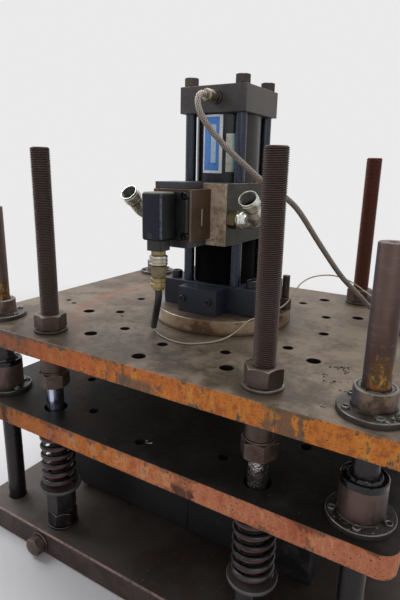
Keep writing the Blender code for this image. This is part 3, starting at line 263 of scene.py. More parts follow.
def painted_plate(finish, paints, bright, deep, steel, dark_steel, oil, left_fade, middle,
                  bare_spots, oiled, chipped, sheen):
    """A plate with bare, oily faces and worn paint on its four sides.

    paints are its left and right tone, middle is the height of the plate's middle,
    bare_spots are (x, half width, share only in the lower half) of worn places on the
    front side, oiled is how much of the top is covered by oil (on the platen the oil,
    like its steel tones, is nearly black and also painted shade), chipped how much of
    the paint is lost in chips and sheen how metallic the faces are.
    """
    across, depth, height = finish.along(0), finish.along(1), finish.along(2)
    broad = finish.noise(7)
    patch = finish.noise(19, 5, 0.65)
    fine = finish.noise(85, 4, 0.65)
    pit = finish.noise(430, 2)
    runs = finish.noise(75, 4, 0.7, (1, 1, 0.22))
    mottle = patch * 0.5 + fine * 0.5
    flat = abs(finish.facing(2)).step(0.55, 0.85)
    side = abs(across).step(0.428, 0.43).most(abs(depth).step(0.3215, 0.3235))

    distance = (across * across + depth * depth).power(0.5)
    arc = (1 - abs(distance - 0.325).step(0.0, 0.032)) * across.step(-0.08, -0.19)
    front = depth.step(-0.16, -0.25) * (patch * 0.7 + fine * 0.3).step(0.36, 0.6)
    pool = (1 - (distance + broad * 0.09).step(0.195, 0.255)) * (0.35 + patch * 0.9)
    nut_dirt = (finish.from_rod() + fine * 0.0022).step(0.0052, 0.0026)
    wet = (front * 0.75).most(pool).most(nut_dirt * 0.8) * oiled
    top = finish.layers(
        steel,
        (dark_steel, (broad * 0.6 + patch * 0.4).step(0.42, 0.6)),
        (oil, mottle.step(0.5, 0.62) * 0.5),
        ((0.27, 0.095, 0.05), arc * mottle.step(0.4, 0.62) * 0.7),
        # painted shade: the top darkens towards the back right
        (dark_steel, across.step(0.02, 0.22) * depth.step(0.0, 0.15) * 0.4),
        (oil, wet.least(1.0)),
        ((0.018, 0.015, 0.012), pit.step(0.61, 0.72) * 0.6),
        (PALE_GRIT, finish.noise(260, 1, 0.5).step(0.775, 0.8)))

    left_wear = across.step(-0.04, -0.42)
    chips = runs * 0.42 + patch * 0.33 + fine * 0.25 + left_wear * 0.035
    rise = (height - middle) * 50
    border = (runs - 0.5) * 2.6 + (patch - 0.5) * 2.2 + (fine - 0.5) * 1.2
    upper = (rise + border + left_wear * 0.55).step(0.8, 1.12)
    lower = (border - rise).step(0.92, 1.2)
    front_side = depth.step(-0.345, -0.349)
    spots = []
    for place, half, low_share in bare_spots:
        reach = abs(across - place) / half + (fine - 0.5) * 4 + (runs - 0.5) * 3
        spot = reach.step(1.35, 0.65) * front_side * (1 - low_share * rise.step(-0.35, 0.25))
        spots.append((dark_steel, spot * 0.8))
    edge = finish.layers(
        paints[0],
        (paints[1], (across + (broad - 0.5) * 0.9).step(-0.32, 0.3)),
        (bright, (runs * 0.65 + patch * 0.35).step(0.5, 0.6) * 0.8),
        (deep, (runs * 0.4 + fine * 0.6).step(0.5, 0.4) * 0.75),
        (deep, (broad * 0.35 + patch * 0.65).step(0.53, 0.64) * (0.35 + runs * 0.9)),
        (dark_steel, chips.step(0.535, 0.6) * (0.8 * chipped)),
        (left_fade, left_wear * (0.1 + patch * 0.6 + runs * 0.7).step(0.45, 0.95) * 0.9),
        (dark_steel, upper.most(lower) * (0.35 + 0.53 * chipped)),
        ((0.03, 0.018, 0.014), pit.step(0.58, 0.66) * fine.step(0.44, 0.58)),
        *spots)

    painted = (1 - flat) * side
    # painted shade: the walls of the drilled holes are near black (0.008, 0.007, 0.006)
    finish.set(
        finish.layers(dark_steel, (edge, side), (top, flat),
                      ((0.008, 0.007, 0.006), (1 - side) * (1 - flat))),
        0.44 + fine * 0.22 - wet * 0.17 * flat + painted * 0.1, (1 - painted) * sheen,
        (fine * 0.5 + pit * 0.4 + painted * runs * 0.6, 0.4, 0.0008), specular=0.15 + 0.6 * sheen)


def oily_base(finish):
    """Oily slab: dull brown top with pale grit, red-brown sides and a rubbed pink edge."""
    broad = finish.noise(6)
    patch = finish.noise(24, 5, 0.65)
    fine = finish.noise(140, 4, 0.65)
    tilt = abs(finish.facing(2))
    top = finish.layers(
        (0.088, 0.071, 0.058),
        ((0.044, 0.034, 0.028), broad.step(0.4, 0.62)),
        ((0.11, 0.05, 0.036), (patch * 0.6 + broad * 0.4).step(0.53, 0.66) * 0.5),
        (PALE_GRIT, finish.noise(260, 1, 0.5).step(0.77, 0.8)))
    worn = (patch * 0.5 + fine * 0.5).step(0.36, 0.56)
    colour = finish.layers(
        (0.066, 0.042, 0.036),
        ((0.034, 0.021, 0.018), patch.step(0.42, 0.6)),
        (top, tilt.step(0.75, 0.97)),
        ((0.26, 0.165, 0.145), tilt.step(0.25, 0.5) * tilt.step(0.985, 0.9) * worn))
    finish.set(colour, 0.48 + fine * 0.2, 0.3, (fine * 0.6 + patch * 0.4, 0.3, 0.0006))


def threaded_metal(finish):
    """Brown thread whose crests are lighter than its roots, redder at the back."""
    across, depth = finish.along(0), finish.along(1)
    fine = finish.noise(90, 4, 0.65)
    broad = finish.noise(12, 3)
    high = finish.from_rod().power(0.5).step(ROD_RADIUS - THREAD_DEPTH, ROD_RADIUS - 0.0002)
    back = depth.step(0.0, 0.1)
    colour = finish.layers(
        (0.026, 0.017, 0.014),
        ((0.135, 0.104, 0.094), high * (0.45 + 0.55 * fine)),
        ((0.08, 0.046, 0.034), broad.step(0.42, 0.66) * 0.6),
        ((0.115, 0.032, 0.016), across.step(0.0, 0.1) * back * 0.8),
        ((0.05, 0.03, 0.02), across.step(0.0, -0.1) * back * 0.6))
    finish.set(colour, 0.42 + fine * 0.2, 0.7, (fine, 0.3, 0.0005))


def oily_collar(finish):
    """Brown collar with a black, wet rim and dark runs below it."""
    height = finish.along(2)
    broad = finish.noise(26, stretch=(1, 1, 0.4))
    fine = finish.noise(90, 4, 0.65)
    rim = (height + broad * 0.008).step(0.4015, 0.403)
    colour = finish.layers(
        (0.135, 0.088, 0.074),
        ((0.066, 0.044, 0.038), broad.step(0.4, 0.6)),
        ((0.21, 0.18, 0.17), (fine * 0.6 + broad * 0.4).step(0.54, 0.66) * 0.6),
        ((0.014, 0.013, 0.015), rim),
        ((0.03, 0.022, 0.018), (height - fine * 0.006).step(0.35, 0.347) * 0.8))
    finish.set(colour, 0.42 - rim * 0.2 + fine * 0.1, 0.7, (fine, 0.25, 0.0006), coat=rim * 0.4)


def stained_collar(finish):
    """Collar stained ochre-brown, a painted bluish highlight on its left, rubbed rim and a dark
    foot.
    """
    broad = finish.noise(24, stretch=(1, 1, 1.6))
    patch = finish.noise(62, 4, 0.65)
    fine = finish.noise(150, 4, 0.65)
    colour = finish.layers(
        (0.215, 0.15, 0.108),
        ((0.092, 0.062, 0.046), patch.step(0.4, 0.6)),
        ((0.17, 0.14, 0.135), broad.step(0.46, 0.62) * 0.75),
        # painted highlight: the left-facing side is tinted bluish
        ((0.125, 0.122, 0.165), finish.facing(0).step(-0.3, -0.8) * 0.7),
        ((0.175, 0.17, 0.15), finish.facing(2).step(0.2, 0.8) * (0.4 + fine * 0.7)),
        ((0.02, 0.016, 0.013), (finish.along(2) - patch * 0.006).step(0.5195, 0.5165)))
    finish.set(colour, 0.36 + fine * 0.2, 0.75, (fine, 0.28, 0.0006))


def greasy_metal(finish, body, wet_tone, lumpy):
    """Dark shank, wet with oil, with pale specks on its grease lumps that are painted glints,
    a painted bluish highlight stripe down the front-left rod and painted shade within the
    spring. lumpy is how much old grease clings to it.
    """
    lumps = finish.noise(95, 3, 0.6, (1, 1, 0.7))
    fine = finish.noise(320, 2)
    wet = lumps.step(0.42, 0.6)
    # painted highlight: a bluish-white stripe down the front of the front-left rod
    painted_highlight_stripe = (finish.facing(0) * 0.42 - finish.facing(1) * 0.91).step(0.955, 0.992)
    painted_highlight_stripe = painted_highlight_stripe * finish.along(0).step(0.0, -0.1) * finish.along(1).step(0.0, -0.1)
    # painted shade: within the spring the shank is near black, rough and dull
    painted_shade_in_spring = finish.along(2).step(0.3, 0.292)
    colour = finish.layers(
        body,
        (wet_tone, wet),
        # painted glints: pale specks on the grease lumps
        ((0.62, 0.58, 0.55), (fine * lumps).step(0.27, 0.34) * lumpy),
        ((0.62, 0.68, 0.9), painted_highlight_stripe * fine.step(0.2, 0.5)),
        ((0.012, 0.011, 0.012), painted_shade_in_spring))
    finish.set(colour, 0.26 - wet * 0.16 + painted_shade_in_spring * 0.4, 0.8 - painted_shade_in_spring * 0.6,
               (lumps + fine * 0.3, lumpy, 0.003), coat=0.5 - painted_shade_in_spring * 0.5)


def old_grease(finish, body, lit):
    """Old grease in wet lumps."""
    lumps = finish.noise(170, 4, 0.65)
    fine = finish.noise(600, 2)
    finish.set(finish.layers(body, (lit, lumps.step(0.5, 0.66))), 0.2 + fine * 0.25, 0.2,
               (lumps + fine * 0.2, 1.0, 0.004), coat=0.4)


def barrel_coat(finish):
    """Glossy black barrel, dusty above the manifold, with painted light on its right side and
    painted shade, near black and dull, below the manifold.
    """
    broad = finish.noise(12)
    fine = finish.noise(160, 3)
    # painted shade: below the manifold the barrel is near black and dull
    painted_shade_below = finish.along(2).step(0.745, 0.685)
    colour = finish.layers(
        (0.01, 0.012, 0.019),
        # painted light: the right side of the barrel is lighter and browner
        ((0.03, 0.025, 0.021), finish.along(0).step(0.02, 0.06)),
        ((0.03, 0.028, 0.028), (broad * 0.6 + fine * 0.4).step(0.44, 0.68) * 0.5),
        ((0.003, 0.003, 0.0034), painted_shade_below))
    finish.set(colour, 0.32 + painted_shade_below * 0.55, 0.25 - painted_shade_below * 0.25, (fine, 0.1, 0.0004),
               specular=0.06, coat=(1 - painted_shade_below) * 0.5, coat_roughness=0.25)


def hood_coat(finish):
    """Moulded hood: a blue-black front and blacker sides, painted light and shade of its faces,
    brown dust on top and painted highlights on its rounded right-hand corners.
    """
    broad = finish.noise(40)
    fine = finish.noise(260, 3)
    right = finish.facing(0)
    # painted highlight: the rounded right-hand corners get a bluish-light line
    rubbed = right.step(0.35, 0.6) * right.step(0.95, 0.8) * abs(finish.facing(2)).step(0.5, 0.2)
    colour = finish.layers(
        (0.005, 0.0045, 0.0045),
        # painted light: the front face is blue-black, lighter than the black sides
        ((0.009, 0.011, 0.021), finish.facing(1).step(-0.7, -0.95)),
        ((0.045, 0.044, 0.05), (broad * 0.5 + fine * 0.5).step(0.52, 0.66) * 0.35),
        ((0.21, 0.185, 0.15), finish.facing(2).step(0.45, 0.9) * (0.3 + broad * 0.9)),
        ((0.13, 0.145, 0.195), rubbed * fine.step(0.3, 0.5)))
    finish.set(colour, 0.38 + fine * 0.1, 0.0, (fine, 0.15, 0.0004), specular=0.24)


def stained_block(finish):
    """Dark grey-olive block whose front side is stained tan, with rubbed upright edges."""
    broad = finish.noise(22)
    patch = finish.noise(48, 5, 0.65)
    fine = finish.noise(170, 3)
    tan_stain = finish.layers(
        (0.56, 0.45, 0.34),
        ((0.34, 0.245, 0.165), patch.step(0.44, 0.62)),
        ((0.2, 0.12, 0.065), (broad * 0.6 + fine * 0.4).step(0.53, 0.66)))
    colour = finish.layers(
        (0.034, 0.033, 0.025),
        ((0.022, 0.02, 0.015), broad.step(0.4, 0.62)),
        ((0.07, 0.06, 0.042), (patch * fine).step(0.27, 0.36) * 0.7),
        (tan_stain, finish.facing(1).step(-0.55, -0.85)),
        ((0.26, 0.225, 0.18), finish.broken_edge() * fine.step(0.3, 0.55)))
    finish.set(colour, 0.45 + fine * 0.2, 0.15, (fine, 0.15, 0.0004), specular=0.25)


def smooth_coat(finish, body, dusty, roughness, metallic=0.0, grain=40, dust=0.5, relief=0.12):
    """Paint or moulded plastic with a little dust and uneven gloss."""
    fine = finish.noise(grain * 4, 3)
    dusted = (finish.noise(grain * 0.3) * 0.6 + fine * 0.4).step(0.4, 0.68) * dust
    share = (dusted + finish.facing(2).step(0.25, 0.9) * dust * 0.6).least(1.0)
    finish.set(finish.layers(body, (dusty, share)),
               roughness + (fine - 0.5) * 0.2 + dusted * 0.15, metallic, (fine, relief, 0.0004))


def plated_metal(finish, body, shade, roughness):
    """Bright plated or machined metal."""
    broad = finish.noise(25, 3)
    finish.set(finish.layers(body, (shade, broad.step(0.4, 0.7) * 0.8)),
               roughness + broad * 0.12, 1.0, (finish.noise(400, 2) * 0.4, 0.12, 0.0004))


def zinc_plate(finish):
    """Bright zinc plate with darker yellow-green patches; the light body and the patches are
    partly painted reflections.
    """
    broad = finish.noise(55, 3)
    # partly painted reflections: the light body and the darker patches
    colour = finish.layers((0.74, 0.75, 0.68), ((0.27, 0.28, 0.19), broad.step(0.44, 0.64) * 0.9))
    finish.set(colour, 0.18 + broad * 0.14, 0.78,
               (broad + finish.noise(420, 2) * 0.3, 0.25, 0.0008))


def foil(finish, tone):
    """Printed metal foil, a little scuffed."""
    scuffs = finish.noise(140, 3)
    colour = finish.layers(tone, (scaled(tone, 0.6), scuffs.step(0.52, 0.7) * 0.7))
    finish.set(colour, 0.34 + scuffs * 0.15, 0.0, (scuffs, 0.08, 0.0004))


def post_metal(finish):
    """Ground post: purple-brown film, ochre stain near its foot, faint rings, a painted bluish
    highlight on its left and dark grease below the top plate that is also painted shade.
    """
    height = finish.along(2)
    broad = finish.noise(11, stretch=(1, 1, 0.35))
    fine = finish.noise(110, 4, 0.65)
    rings = finish.noise(130, 3, 0.6, (0.15, 0.15, 1))
    strokes = finish.noise(150, 5, 0.75, (1, 1, 0.55))
    right = finish.facing(0).step(-0.6, 0.05)
    above_plate = height.step(0.5, 0.52)
    stained = (height - broad * 0.02).step(0.592, 0.572) * height.step(0.546, 0.553) * right
    hot = height.step(0.562, 0.556) * height.step(0.545, 0.55) * right
    # painted highlight: the left side above the plate is tinted bluish
    blue = finish.facing(0).step(-0.62, -0.92) * above_plate
    # dark grease below the top plate, which is also painted shade between the plates
    wet = height.step(0.49, 0.46)
    near_platen = height.step(0.45, 0.425) * height.step(0.4, 0.41)
    colour = finish.layers(
        (0.105, 0.068, 0.058),
        ((0.06, 0.032, 0.026), broad.step(0.4, 0.62)),
        ((0.15, 0.11, 0.1), (rings * 0.6 + fine * 0.4).step(0.52, 0.66) * 0.5),
        ((0.045, 0.024, 0.016), height.step(0.572, 0.548) * above_plate * 0.6),
        ((0.09, 0.048, 0.018), stained * 0.7),
        ((0.36, 0.205, 0.04), stained * strokes.step(0.49, 0.64) * 0.85),
        ((0.34, 0.105, 0.02), hot * fine.step(0.46, 0.62) * 0.7),
        ((0.105, 0.112, 0.145), blue * 0.55),
        ((0.03, 0.029, 0.032), wet * (0.75 + broad * 0.3)))
    relief = rings * 0.1 + fine * 0.1 + finish.noise(120, 3) * near_platen * 1.6
    finish.set(colour, 0.34 + fine * 0.2 - wet * 0.14, 0.75, (relief, 0.8, 0.0012))


def disc_metal(finish):
    """Turned disc: a painted highlight on its left flank, brown oil stain, a darker top and
    bevel that are partly painted shade, and fine turning lines.
    """
    turned = finish.noise(160, 3, 0.6, (0.1, 0.1, 1))
    broad = finish.noise(9)
    fine = finish.noise(120, 4, 0.65)
    patch = finish.noise(26, 4, 0.65)
    colour = finish.layers(
        (0.5, 0.38, 0.27),
        ((0.25, 0.145, 0.078), broad.step(0.38, 0.62)),
        ((0.085, 0.047, 0.024), patch.step(0.52, 0.64) * 0.8),
        # painted highlight: bluish-white on the left flank
        ((0.8, 0.88, 1.0), finish.along(0).step(-0.07, -0.115) * fine.step(0.25, 0.5)),
        ((0.09, 0.06, 0.035), finish.along(2).step(0.5165, 0.512) * 0.6),
        # painted shade: the top and its bevel are darker, so the bevel shows no bright line
        ((0.085, 0.062, 0.044), finish.facing(2).step(0.1, 0.35) * (0.55 + broad * 0.6)))
    finish.set(colour, 0.32 + fine * 0.2, 0.6, (turned * 0.7 + fine * 0.3, 0.18, 0.0004))


def braided(finish, thread, gap, strands, pitch):
    """A woven sleeve: two sets of strands that cross on the cord's own UV map."""
    uv = finish.node("ShaderNodeUVMap", {"uv_map": "cord"})
    around, run = (finish.node("ShaderNodeSeparateXYZ", None, {0: uv}, axis) for axis in (0, 1))
    turn, lead = around * (2 * pi * strands), run * (2 * pi / pitch)
    weave = (turn + lead).sine().most((turn - lead).sine()).step(-0.3, 0.9)
    grime = finish.noise(60)
    colour = finish.layers(
        gap, (thread, weave), (scaled(thread, 0.5), grime.step(0.45, 0.7) * 0.7),
        # painted highlight: the strands are lighter near the top of the hose
        (scaled(thread, 1.7), finish.along(2).step(0.905, 0.945) * weave * 0.7))
    finish.set(colour, 0.55 + grime * 0.2, 0.25, (weave, 0.7, 0.0006))


def make_finishes():
    """Every finish of the press; a piece takes it by its name."""
    for recipe, name, *values in (
            (painted_plate, "plate_edge_orange", ((0.56, 0.135, 0.03), (0.66, 0.205, 0.024)),
             (0.8, 0.33, 0.04), (0.32, 0.08, 0.02), (0.18, 0.139, 0.103), (0.104, 0.077, 0.054),
             (0.052, 0.037, 0.022), (0.045, 0.025, 0.028), 0.4883,
             ((0.0006, 0.004, 0), (0.03, 0.04, 1), (0.266, 0.011, 0.6), (0.292, 0.018, 0),
              (0.3145, 0.005, 0)), 1.0, 1.0, 0.42),
            # the platen's top tones are nearly black: oil, and painted shade of the gap under the
            # top plate
            (painted_plate, "platen_edge_salmon", ((0.62, 0.19, 0.024), (0.58, 0.205, 0.105)),
             (0.72, 0.33, 0.15), (0.42, 0.105, 0.042), (0.034, 0.028, 0.022),
             (0.014, 0.012, 0.01), (0.01, 0.009, 0.008), (0.12, 0.036, 0.02), 0.3183,
             ((-0.33, 0.01, 0), (0.12, 0.02, 0.8)), 0.9, 0.3, 0.12),
            (oily_base, "base_dark_oiled"), (threaded_metal, "thread_brown"),
            (stained_collar, "bushing_stained"), (oily_collar, "collar_oily"),
            (post_metal, "post_purple_brown"), (disc_metal, "disc_turned"),
            (barrel_coat, "barrel_black"), (stained_block, "manifold_stained"),
            (hood_coat, "hood_black"), (zinc_plate, "elbow_zinc_plate"),
            (braided, "hose_braid_grey", (0.36, 0.305, 0.26), (0.07, 0.056, 0.046), 8, 0.009),
            (greasy_metal, "shank_oiled", (0.15, 0.16, 0.2), (0.055, 0.058, 0.075), 0.12),
            (greasy_metal, "shank_grease", (0.11, 0.095, 0.09), (0.03, 0.028, 0.032), 1.0),
            (old_grease, "grease_black", (0.01, 0.009, 0.01), (0.05, 0.048, 0.05)),
            (old_grease, "grime_grey", (0.04, 0.041, 0.034), (0.12, 0.122, 0.105))):
        recipe(Finish(name), *values)
    for name, *values in (
            ("bolster_black_oil", (0.016, 0.017, 0.02), (0.008, 0.008, 0.01),
             (0.03, 0.022, 0.02), 0.2, 0.5, 0.3, 30, 0.2),
            ("nut_brown", (0.12, 0.086, 0.074), (0.06, 0.039, 0.031), (0.105, 0.055, 0.034),
             0.5, 0.42, 0.75, 70, 0.3, (0.21, 0.17, 0.15)),
            ("foot_nut_black_oil", (0.048, 0.044, 0.046), (0.018, 0.016, 0.017),
             (0.06, 0.032, 0.026), 0.4, 0.3, 0.7, 70, 0.3, (0.11, 0.1, 0.11)),
            ("cup_dull_grey", (0.125, 0.115, 0.108), (0.06, 0.053, 0.05),
             (0.085, 0.055, 0.045), 0.35, 0.5, 0.5, 60, 0.3, (0.17, 0.155, 0.145)),
            ("washer_rubbed", (0.25, 0.22, 0.21), (0.13, 0.105, 0.095), (0.13, 0.072, 0.048),
             0.35, 0.4, 0.8, 80, 0.25),
            ("washer_dull", (0.085, 0.068, 0.06), (0.048, 0.037, 0.032), (0.09, 0.055, 0.038),
             0.4, 0.5, 0.6, 80, 0.3),
            ("flange_greasy", (0.122, 0.112, 0.104), (0.056, 0.05, 0.046),
             (0.085, 0.052, 0.032), 0.4, 0.36, 0.75, 60, 0.35, (0.19, 0.17, 0.16)),
            ("screw_rubbed", (0.29, 0.285, 0.285), (0.13, 0.12, 0.12), (0.1, 0.06, 0.04),
             0.3, 0.35, 0.8, 150, 0.2),
            ("screw_black", (0.045, 0.045, 0.05), (0.022, 0.022, 0.025), (0.07, 0.05, 0.04),
             0.2, 0.35, 0.7, 150, 0.2),
            ("cap_nut_brown", (0.074, 0.06, 0.05), (0.042, 0.033, 0.028), (0.09, 0.058, 0.04),
             0.3, 0.45, 0.6, 80, 0.2, (0.15, 0.12, 0.1)),
            ("spring_black_grease", (0.06, 0.058, 0.062), (0.026, 0.024, 0.026),
             (0.07, 0.04, 0.035), 0.3, 0.3, 0.7, 70, 0.3, None, (0.27, 0.085, 0.06)),
            ("valve_anodised_brown", (0.095, 0.052, 0.024), (0.06, 0.032, 0.016),
             (0.085, 0.045, 0.02), 0.2, 0.4, 0.45, 60, 0.08, (0.36, 0.28, 0.2), None, True),
            ("fitting_dull_brown", (0.13, 0.105, 0.085), (0.06, 0.048, 0.04),
             (0.085, 0.055, 0.035), 0.3, 0.42, 0.8, 140, 0.2)):
        aged_metal(Finish(name), *values)
    for name, *values in (
            ("cylinder_black", (0.009, 0.012, 0.024), (0.03, 0.031, 0.038), 0.42, 0.1, 40, 0.45),
            ("cap_dusty_black", (0.04, 0.037, 0.038), (0.115, 0.094, 0.076), 0.45, 0.2, 30, 0.85),
            ("stay_black", (0.03, 0.036, 0.055), (0.05, 0.048, 0.052), 0.26, 0.5, 40, 0.3),
            ("slab_black", (0.034, 0.036, 0.05), (0.11, 0.1, 0.098), 0.4, 0.3),
            ("mark_light", (0.42, 0.37, 0.3), (0.24, 0.2, 0.16), 0.5),
            ("hood_foot_black", (0.004, 0.004, 0.005), (0.03, 0.028, 0.028), 0.35, 0.0, 60, 0.3),
            # painted shade: the screw in the hood's front dimple is near black
            ("hollow_black", (0.004, 0.004, 0.004), (0.01, 0.009, 0.008), 0.6),
            ("sleeve_black", (0.008, 0.009, 0.01), (0.03, 0.03, 0.031), 0.42, 0.0, 60, 0.3, 0.3),
            ("lead_beige", (0.42, 0.36, 0.24), (0.28, 0.24, 0.18), 0.5),
            ("lead_socket_white", (0.55, 0.53, 0.48), (0.35, 0.33, 0.3), 0.5),
            ("cap_red", (0.62, 0.06, 0.03), (0.4, 0.08, 0.05), 0.45),
            ("crumb_pale", (0.17, 0.155, 0.115), (0.26, 0.24, 0.19), 0.7, 0.0, 300, 0.6),
            ("crumb_dark", (0.03, 0.027, 0.022), (0.08, 0.07, 0.05), 0.7, 0.0, 300, 0.6)):
        smooth_coat(Finish(name), *values)
    for name, *values in (
            ("ram_chrome", (0.55, 0.55, 0.56), (0.4, 0.39, 0.38), 0.12),
            ("connector_brass", (0.3, 0.22, 0.11), (0.15, 0.115, 0.065), 0.3),
            ("connector_nickel", (0.44, 0.41, 0.34), (0.22, 0.195, 0.15), 0.28),
            ("connector_dark_brass", (0.2, 0.17, 0.1), (0.09, 0.075, 0.045), 0.36),
            ("adapter_bronze", (0.19, 0.135, 0.075), (0.1, 0.075, 0.045), 0.34),
            ("ferrule_dull", (0.3, 0.26, 0.2), (0.14, 0.12, 0.09), 0.36),
            # painted shade: the bore of the elbow mouths is dark
            ("elbow_bore_dull", (0.085, 0.088, 0.08), (0.01, 0.01, 0.009), 0.4)):
        plated_metal(Finish(name), *values)
    for name, tone in (
            ("label_blue", (0.085, 0.285, 0.72)), ("label_white", (0.96, 0.97, 0.98)),
            ("label_pale", (0.55, 0.72, 0.9)), ("label_beige", (0.8, 0.76, 0.66)),
            ("label_aqua", (0.42, 0.72, 0.76)), ("label_teal", (0.14, 0.42, 0.5))):
        foil(Finish(name), tone)


class Form:
    """Vertices and faces in the making, each face with the slot of its finish."""

    def __init__(self):
        self.vertices = []
        self.faces = []
        self.slots = []
        self.slot = 0
        self.uvs = None

    def add(self, vertices, faces, place=None):
        start = len(self.vertices)
        self.vertices += [place @ Vector(v) if place else Vector(v) for v in vertices]
        self.faces += [[start + i for i in face] for face in faces]
        self.slots += [self.slot] * len(faces)
        return self

    def turn(self, profile, place=None, segments=48, closed=False):
        """Turns (radius, height) points round the upright axis. A profile may be a
        function of the angle; a closed one loops round a bored section."""
        rows = profile if callable(profile) else lambda angle: profile
        angles = [2 * pi * step / segments for step in range(segments)]
        vertices = [(radius * cos(angle), radius * sin(angle), height)
                    for angle in angles for radius, height in rows(angle)]
        count = len(vertices) // segments
        faces = strips(count, segments, True, closed)
        if not closed:
            faces.append(list(range(0, len(vertices), count))[::-1])
            faces.append(list(range(count - 1, len(vertices), count)))
        return self.add(vertices, faces, place)

    def prism(self, outline, bottom, top, place=None):
        count = len(outline)
        vertices = [(x, y, z) for z in (bottom, top) for x, y in outline]
        faces = [face[::-1] for face in strips(count, 2, False, True)]
        faces += [list(range(count))[::-1], list(range(count, 2 * count))]
        return self.add(vertices, faces, place)

    def box(self, low, high):
        outline = ((low[0], low[1]), (high[0], low[1]), (high[0], high[1]), (low[0], high[1]))
        return self.prism(outline, low[2], high[2])

    def stack(self, place, *parts):
        """Turned parts on one axis, each (slot, profile), with segments and closed if need be."""
        for self.slot, profile, *rest in parts:
            self.turn(profile, place, *rest)
        return self

    def socket_screw(self, place, radius, height):
        """A cap screw standing on its face: chamfered head with a hexagon socket."""
        edge = radius * 0.12
        lip = radius * 0.08

        def rows(angle):
            flat = to_corner(radius * 0.58, angle)
            return [(radius, 0), (radius, height - edge), (radius - edge, height),
                    (flat + lip, height), (flat, height - lip), (flat, height * 0.45)]
        return self.turn(rows, place, 24)

    def thread(self, radius, depth, bottom, top, pitch, place, steps=30):
        """A screw thread's flanks and crests, as one helix."""
        turns = ceil((top - bottom) / pitch)
        shape = ((radius - depth, 0), (radius, pitch * 0.34), (radius, pitch * 0.56),
                 (radius - depth, pitch * 0.9), (radius - depth, pitch))
        vertices = []
        for step in range(turns * steps + 1):
            angle = 2 * pi * step / steps
            rise = bottom + pitch * step / steps
            vertices += [(r * cos(angle), r * sin(angle), min(rise + z, top)) for r, z in shape]
        return self.add(vertices, strips(len(shape), turns * steps + 1), place)

    def wire(self, centres, radius, sides=16, mapped=False):
        """A round wire along points close together, with its own UV map if mapped."""
        points = [Vector(point) for point in centres]
        run = 0
        normal = None
        vertices, uvs = [], []
        for i, point in enumerate(points):
            ahead = points[min(i + 1, len(points) - 1)]
            behind = points[max(i - 1, 0)]
            heading = (ahead - behind).normalized()
            if normal is None:
                normal = heading.orthogonal().normalized()
            normal = (normal - heading * normal.dot(heading)).normalized()
            second = heading.cross(normal)
            run += (point - behind).length
            for side in range(sides + 1):
                angle = 2 * pi * side / sides
                vertices.append(point + radius * (normal * cos(angle) + second * sin(angle)))
                uvs.append((side / sides, run))
        last = (len(points) - 1) * (sides + 1)
        faces = [face[::-1] for face in strips(sides + 1, len(points))]
        faces += [list(range(sides))[::-1], list(range(last, last + sides))]
        if mapped:
            self.uvs = uvs
        return self.add(vertices, faces)

    def mesh(self, name, names=""):
        """The mesh, with the finishes of these names."""
        mesh = bpy.data.meshes.new(name)
        mesh.from_pydata(self.vertices, [], self.faces)
        for finish in names.split():
            mesh.materials.append(finishes[finish])
        mesh.polygons.foreach_set("material_index", self.slots)
        if self.uvs:
            layer = mesh.uv_layers.new(name="cord")
            for loop in mesh.loops:
                layer.data[loop.index].uv = self.uvs[loop.vertex_index]
        mesh.validate()
        return mesh

    def piece(self, name, names, nodes="", slot=None, body="frame", bevel=0.0, rounds=2):
        """Makes the object, hangs it on its body and lets it stand for its nodes."""
        obj = put(name, self.mesh(name, names))
        smooth(obj.data)
        if bevel:
            add_bevel(obj, bevel, rounds)
        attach(obj, body)
        if nodes:
            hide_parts(*nodes.split())
        return obj


def strips(count, rows, around=False, closed=False):
    """Faces between rows of count points. around joins the last row to the first, closed
    joins the last point of each row to its first."""
    faces = []
    for row in range(rows if around else rows - 1):
        here, there = row * count, (row + 1) % rows * count
        for k in range(count if closed else count - 1):
            after = (k + 1) % count
            faces.append([here + k, there + k, there + after, here + after])
    return faces


def to_corner(half_flats, angle):
    """How far a hexagon reaches from its middle in a direction."""
    return half_flats / cos(angle % (pi / 3) - pi / 6)


def hexagon(flats, bottom, top, bore=None):
    """A nut or bolt head with its corners turned off at 30 degrees, for Form.stack."""
    face = flats / 2 * 0.96

    def rows(angle):
        corner = to_corner(flats / 2, angle)
        drop = (corner - face) * tan(pi / 6)
        points = [(face, bottom), (corner, bottom + drop), (corner, top - drop), (face, top)]
        return [(bore, bottom)] + points + [(bore, top)] if bore else points
    return rows, 72 if bore else 48, bool(bore)


def ring(radius, bottom, top, edge):
    """A ring round a tie rod, with its outer edges broken, for Form.stack."""
    return [(NUT_BORE, bottom), (radius - edge, bottom), (radius, bottom + edge),
            (radius, top - edge), (radius - edge, top), (NUT_BORE, top)], 64, True


def knurl(radius, depth, teeth, low, high):
    """The profile of a grip with upright grooves."""
    return lambda angle: [(radius + depth * cos(teeth * angle), z) for z in (low, high)]


def put(name, data):
    """A new object in the scene."""
    obj = bpy.data.objects.new(name, data)
    bpy.context.scene.collection.objects.link(obj)
    return obj


def smooth(mesh):
    mesh.shade_smooth()
    mesh.set_sharp_from_angle(angle=SHARP_ANGLE)


def add_bevel(obj, width, rounds=2):
    modifier = obj.modifiers.new("edge_break", "BEVEL")
    modifier.width = width
    modifier.segments = rounds
    modifier.limit_method = "ANGLE"
    modifier.angle_limit = radians(40)


def at(x, y, z, tilt=None, spin=0.0):
    """A place: moved there, after a spin about its own axis and a tilt of that axis."""
    place = Matrix.Translation((x, y, z))
    if tilt:
        place = place @ Vector((0, 0, 1)).rotation_difference(Vector(tilt)).to_matrix().to_4x4()
    return place @ Matrix.Rotation(spin, 4, "Z")


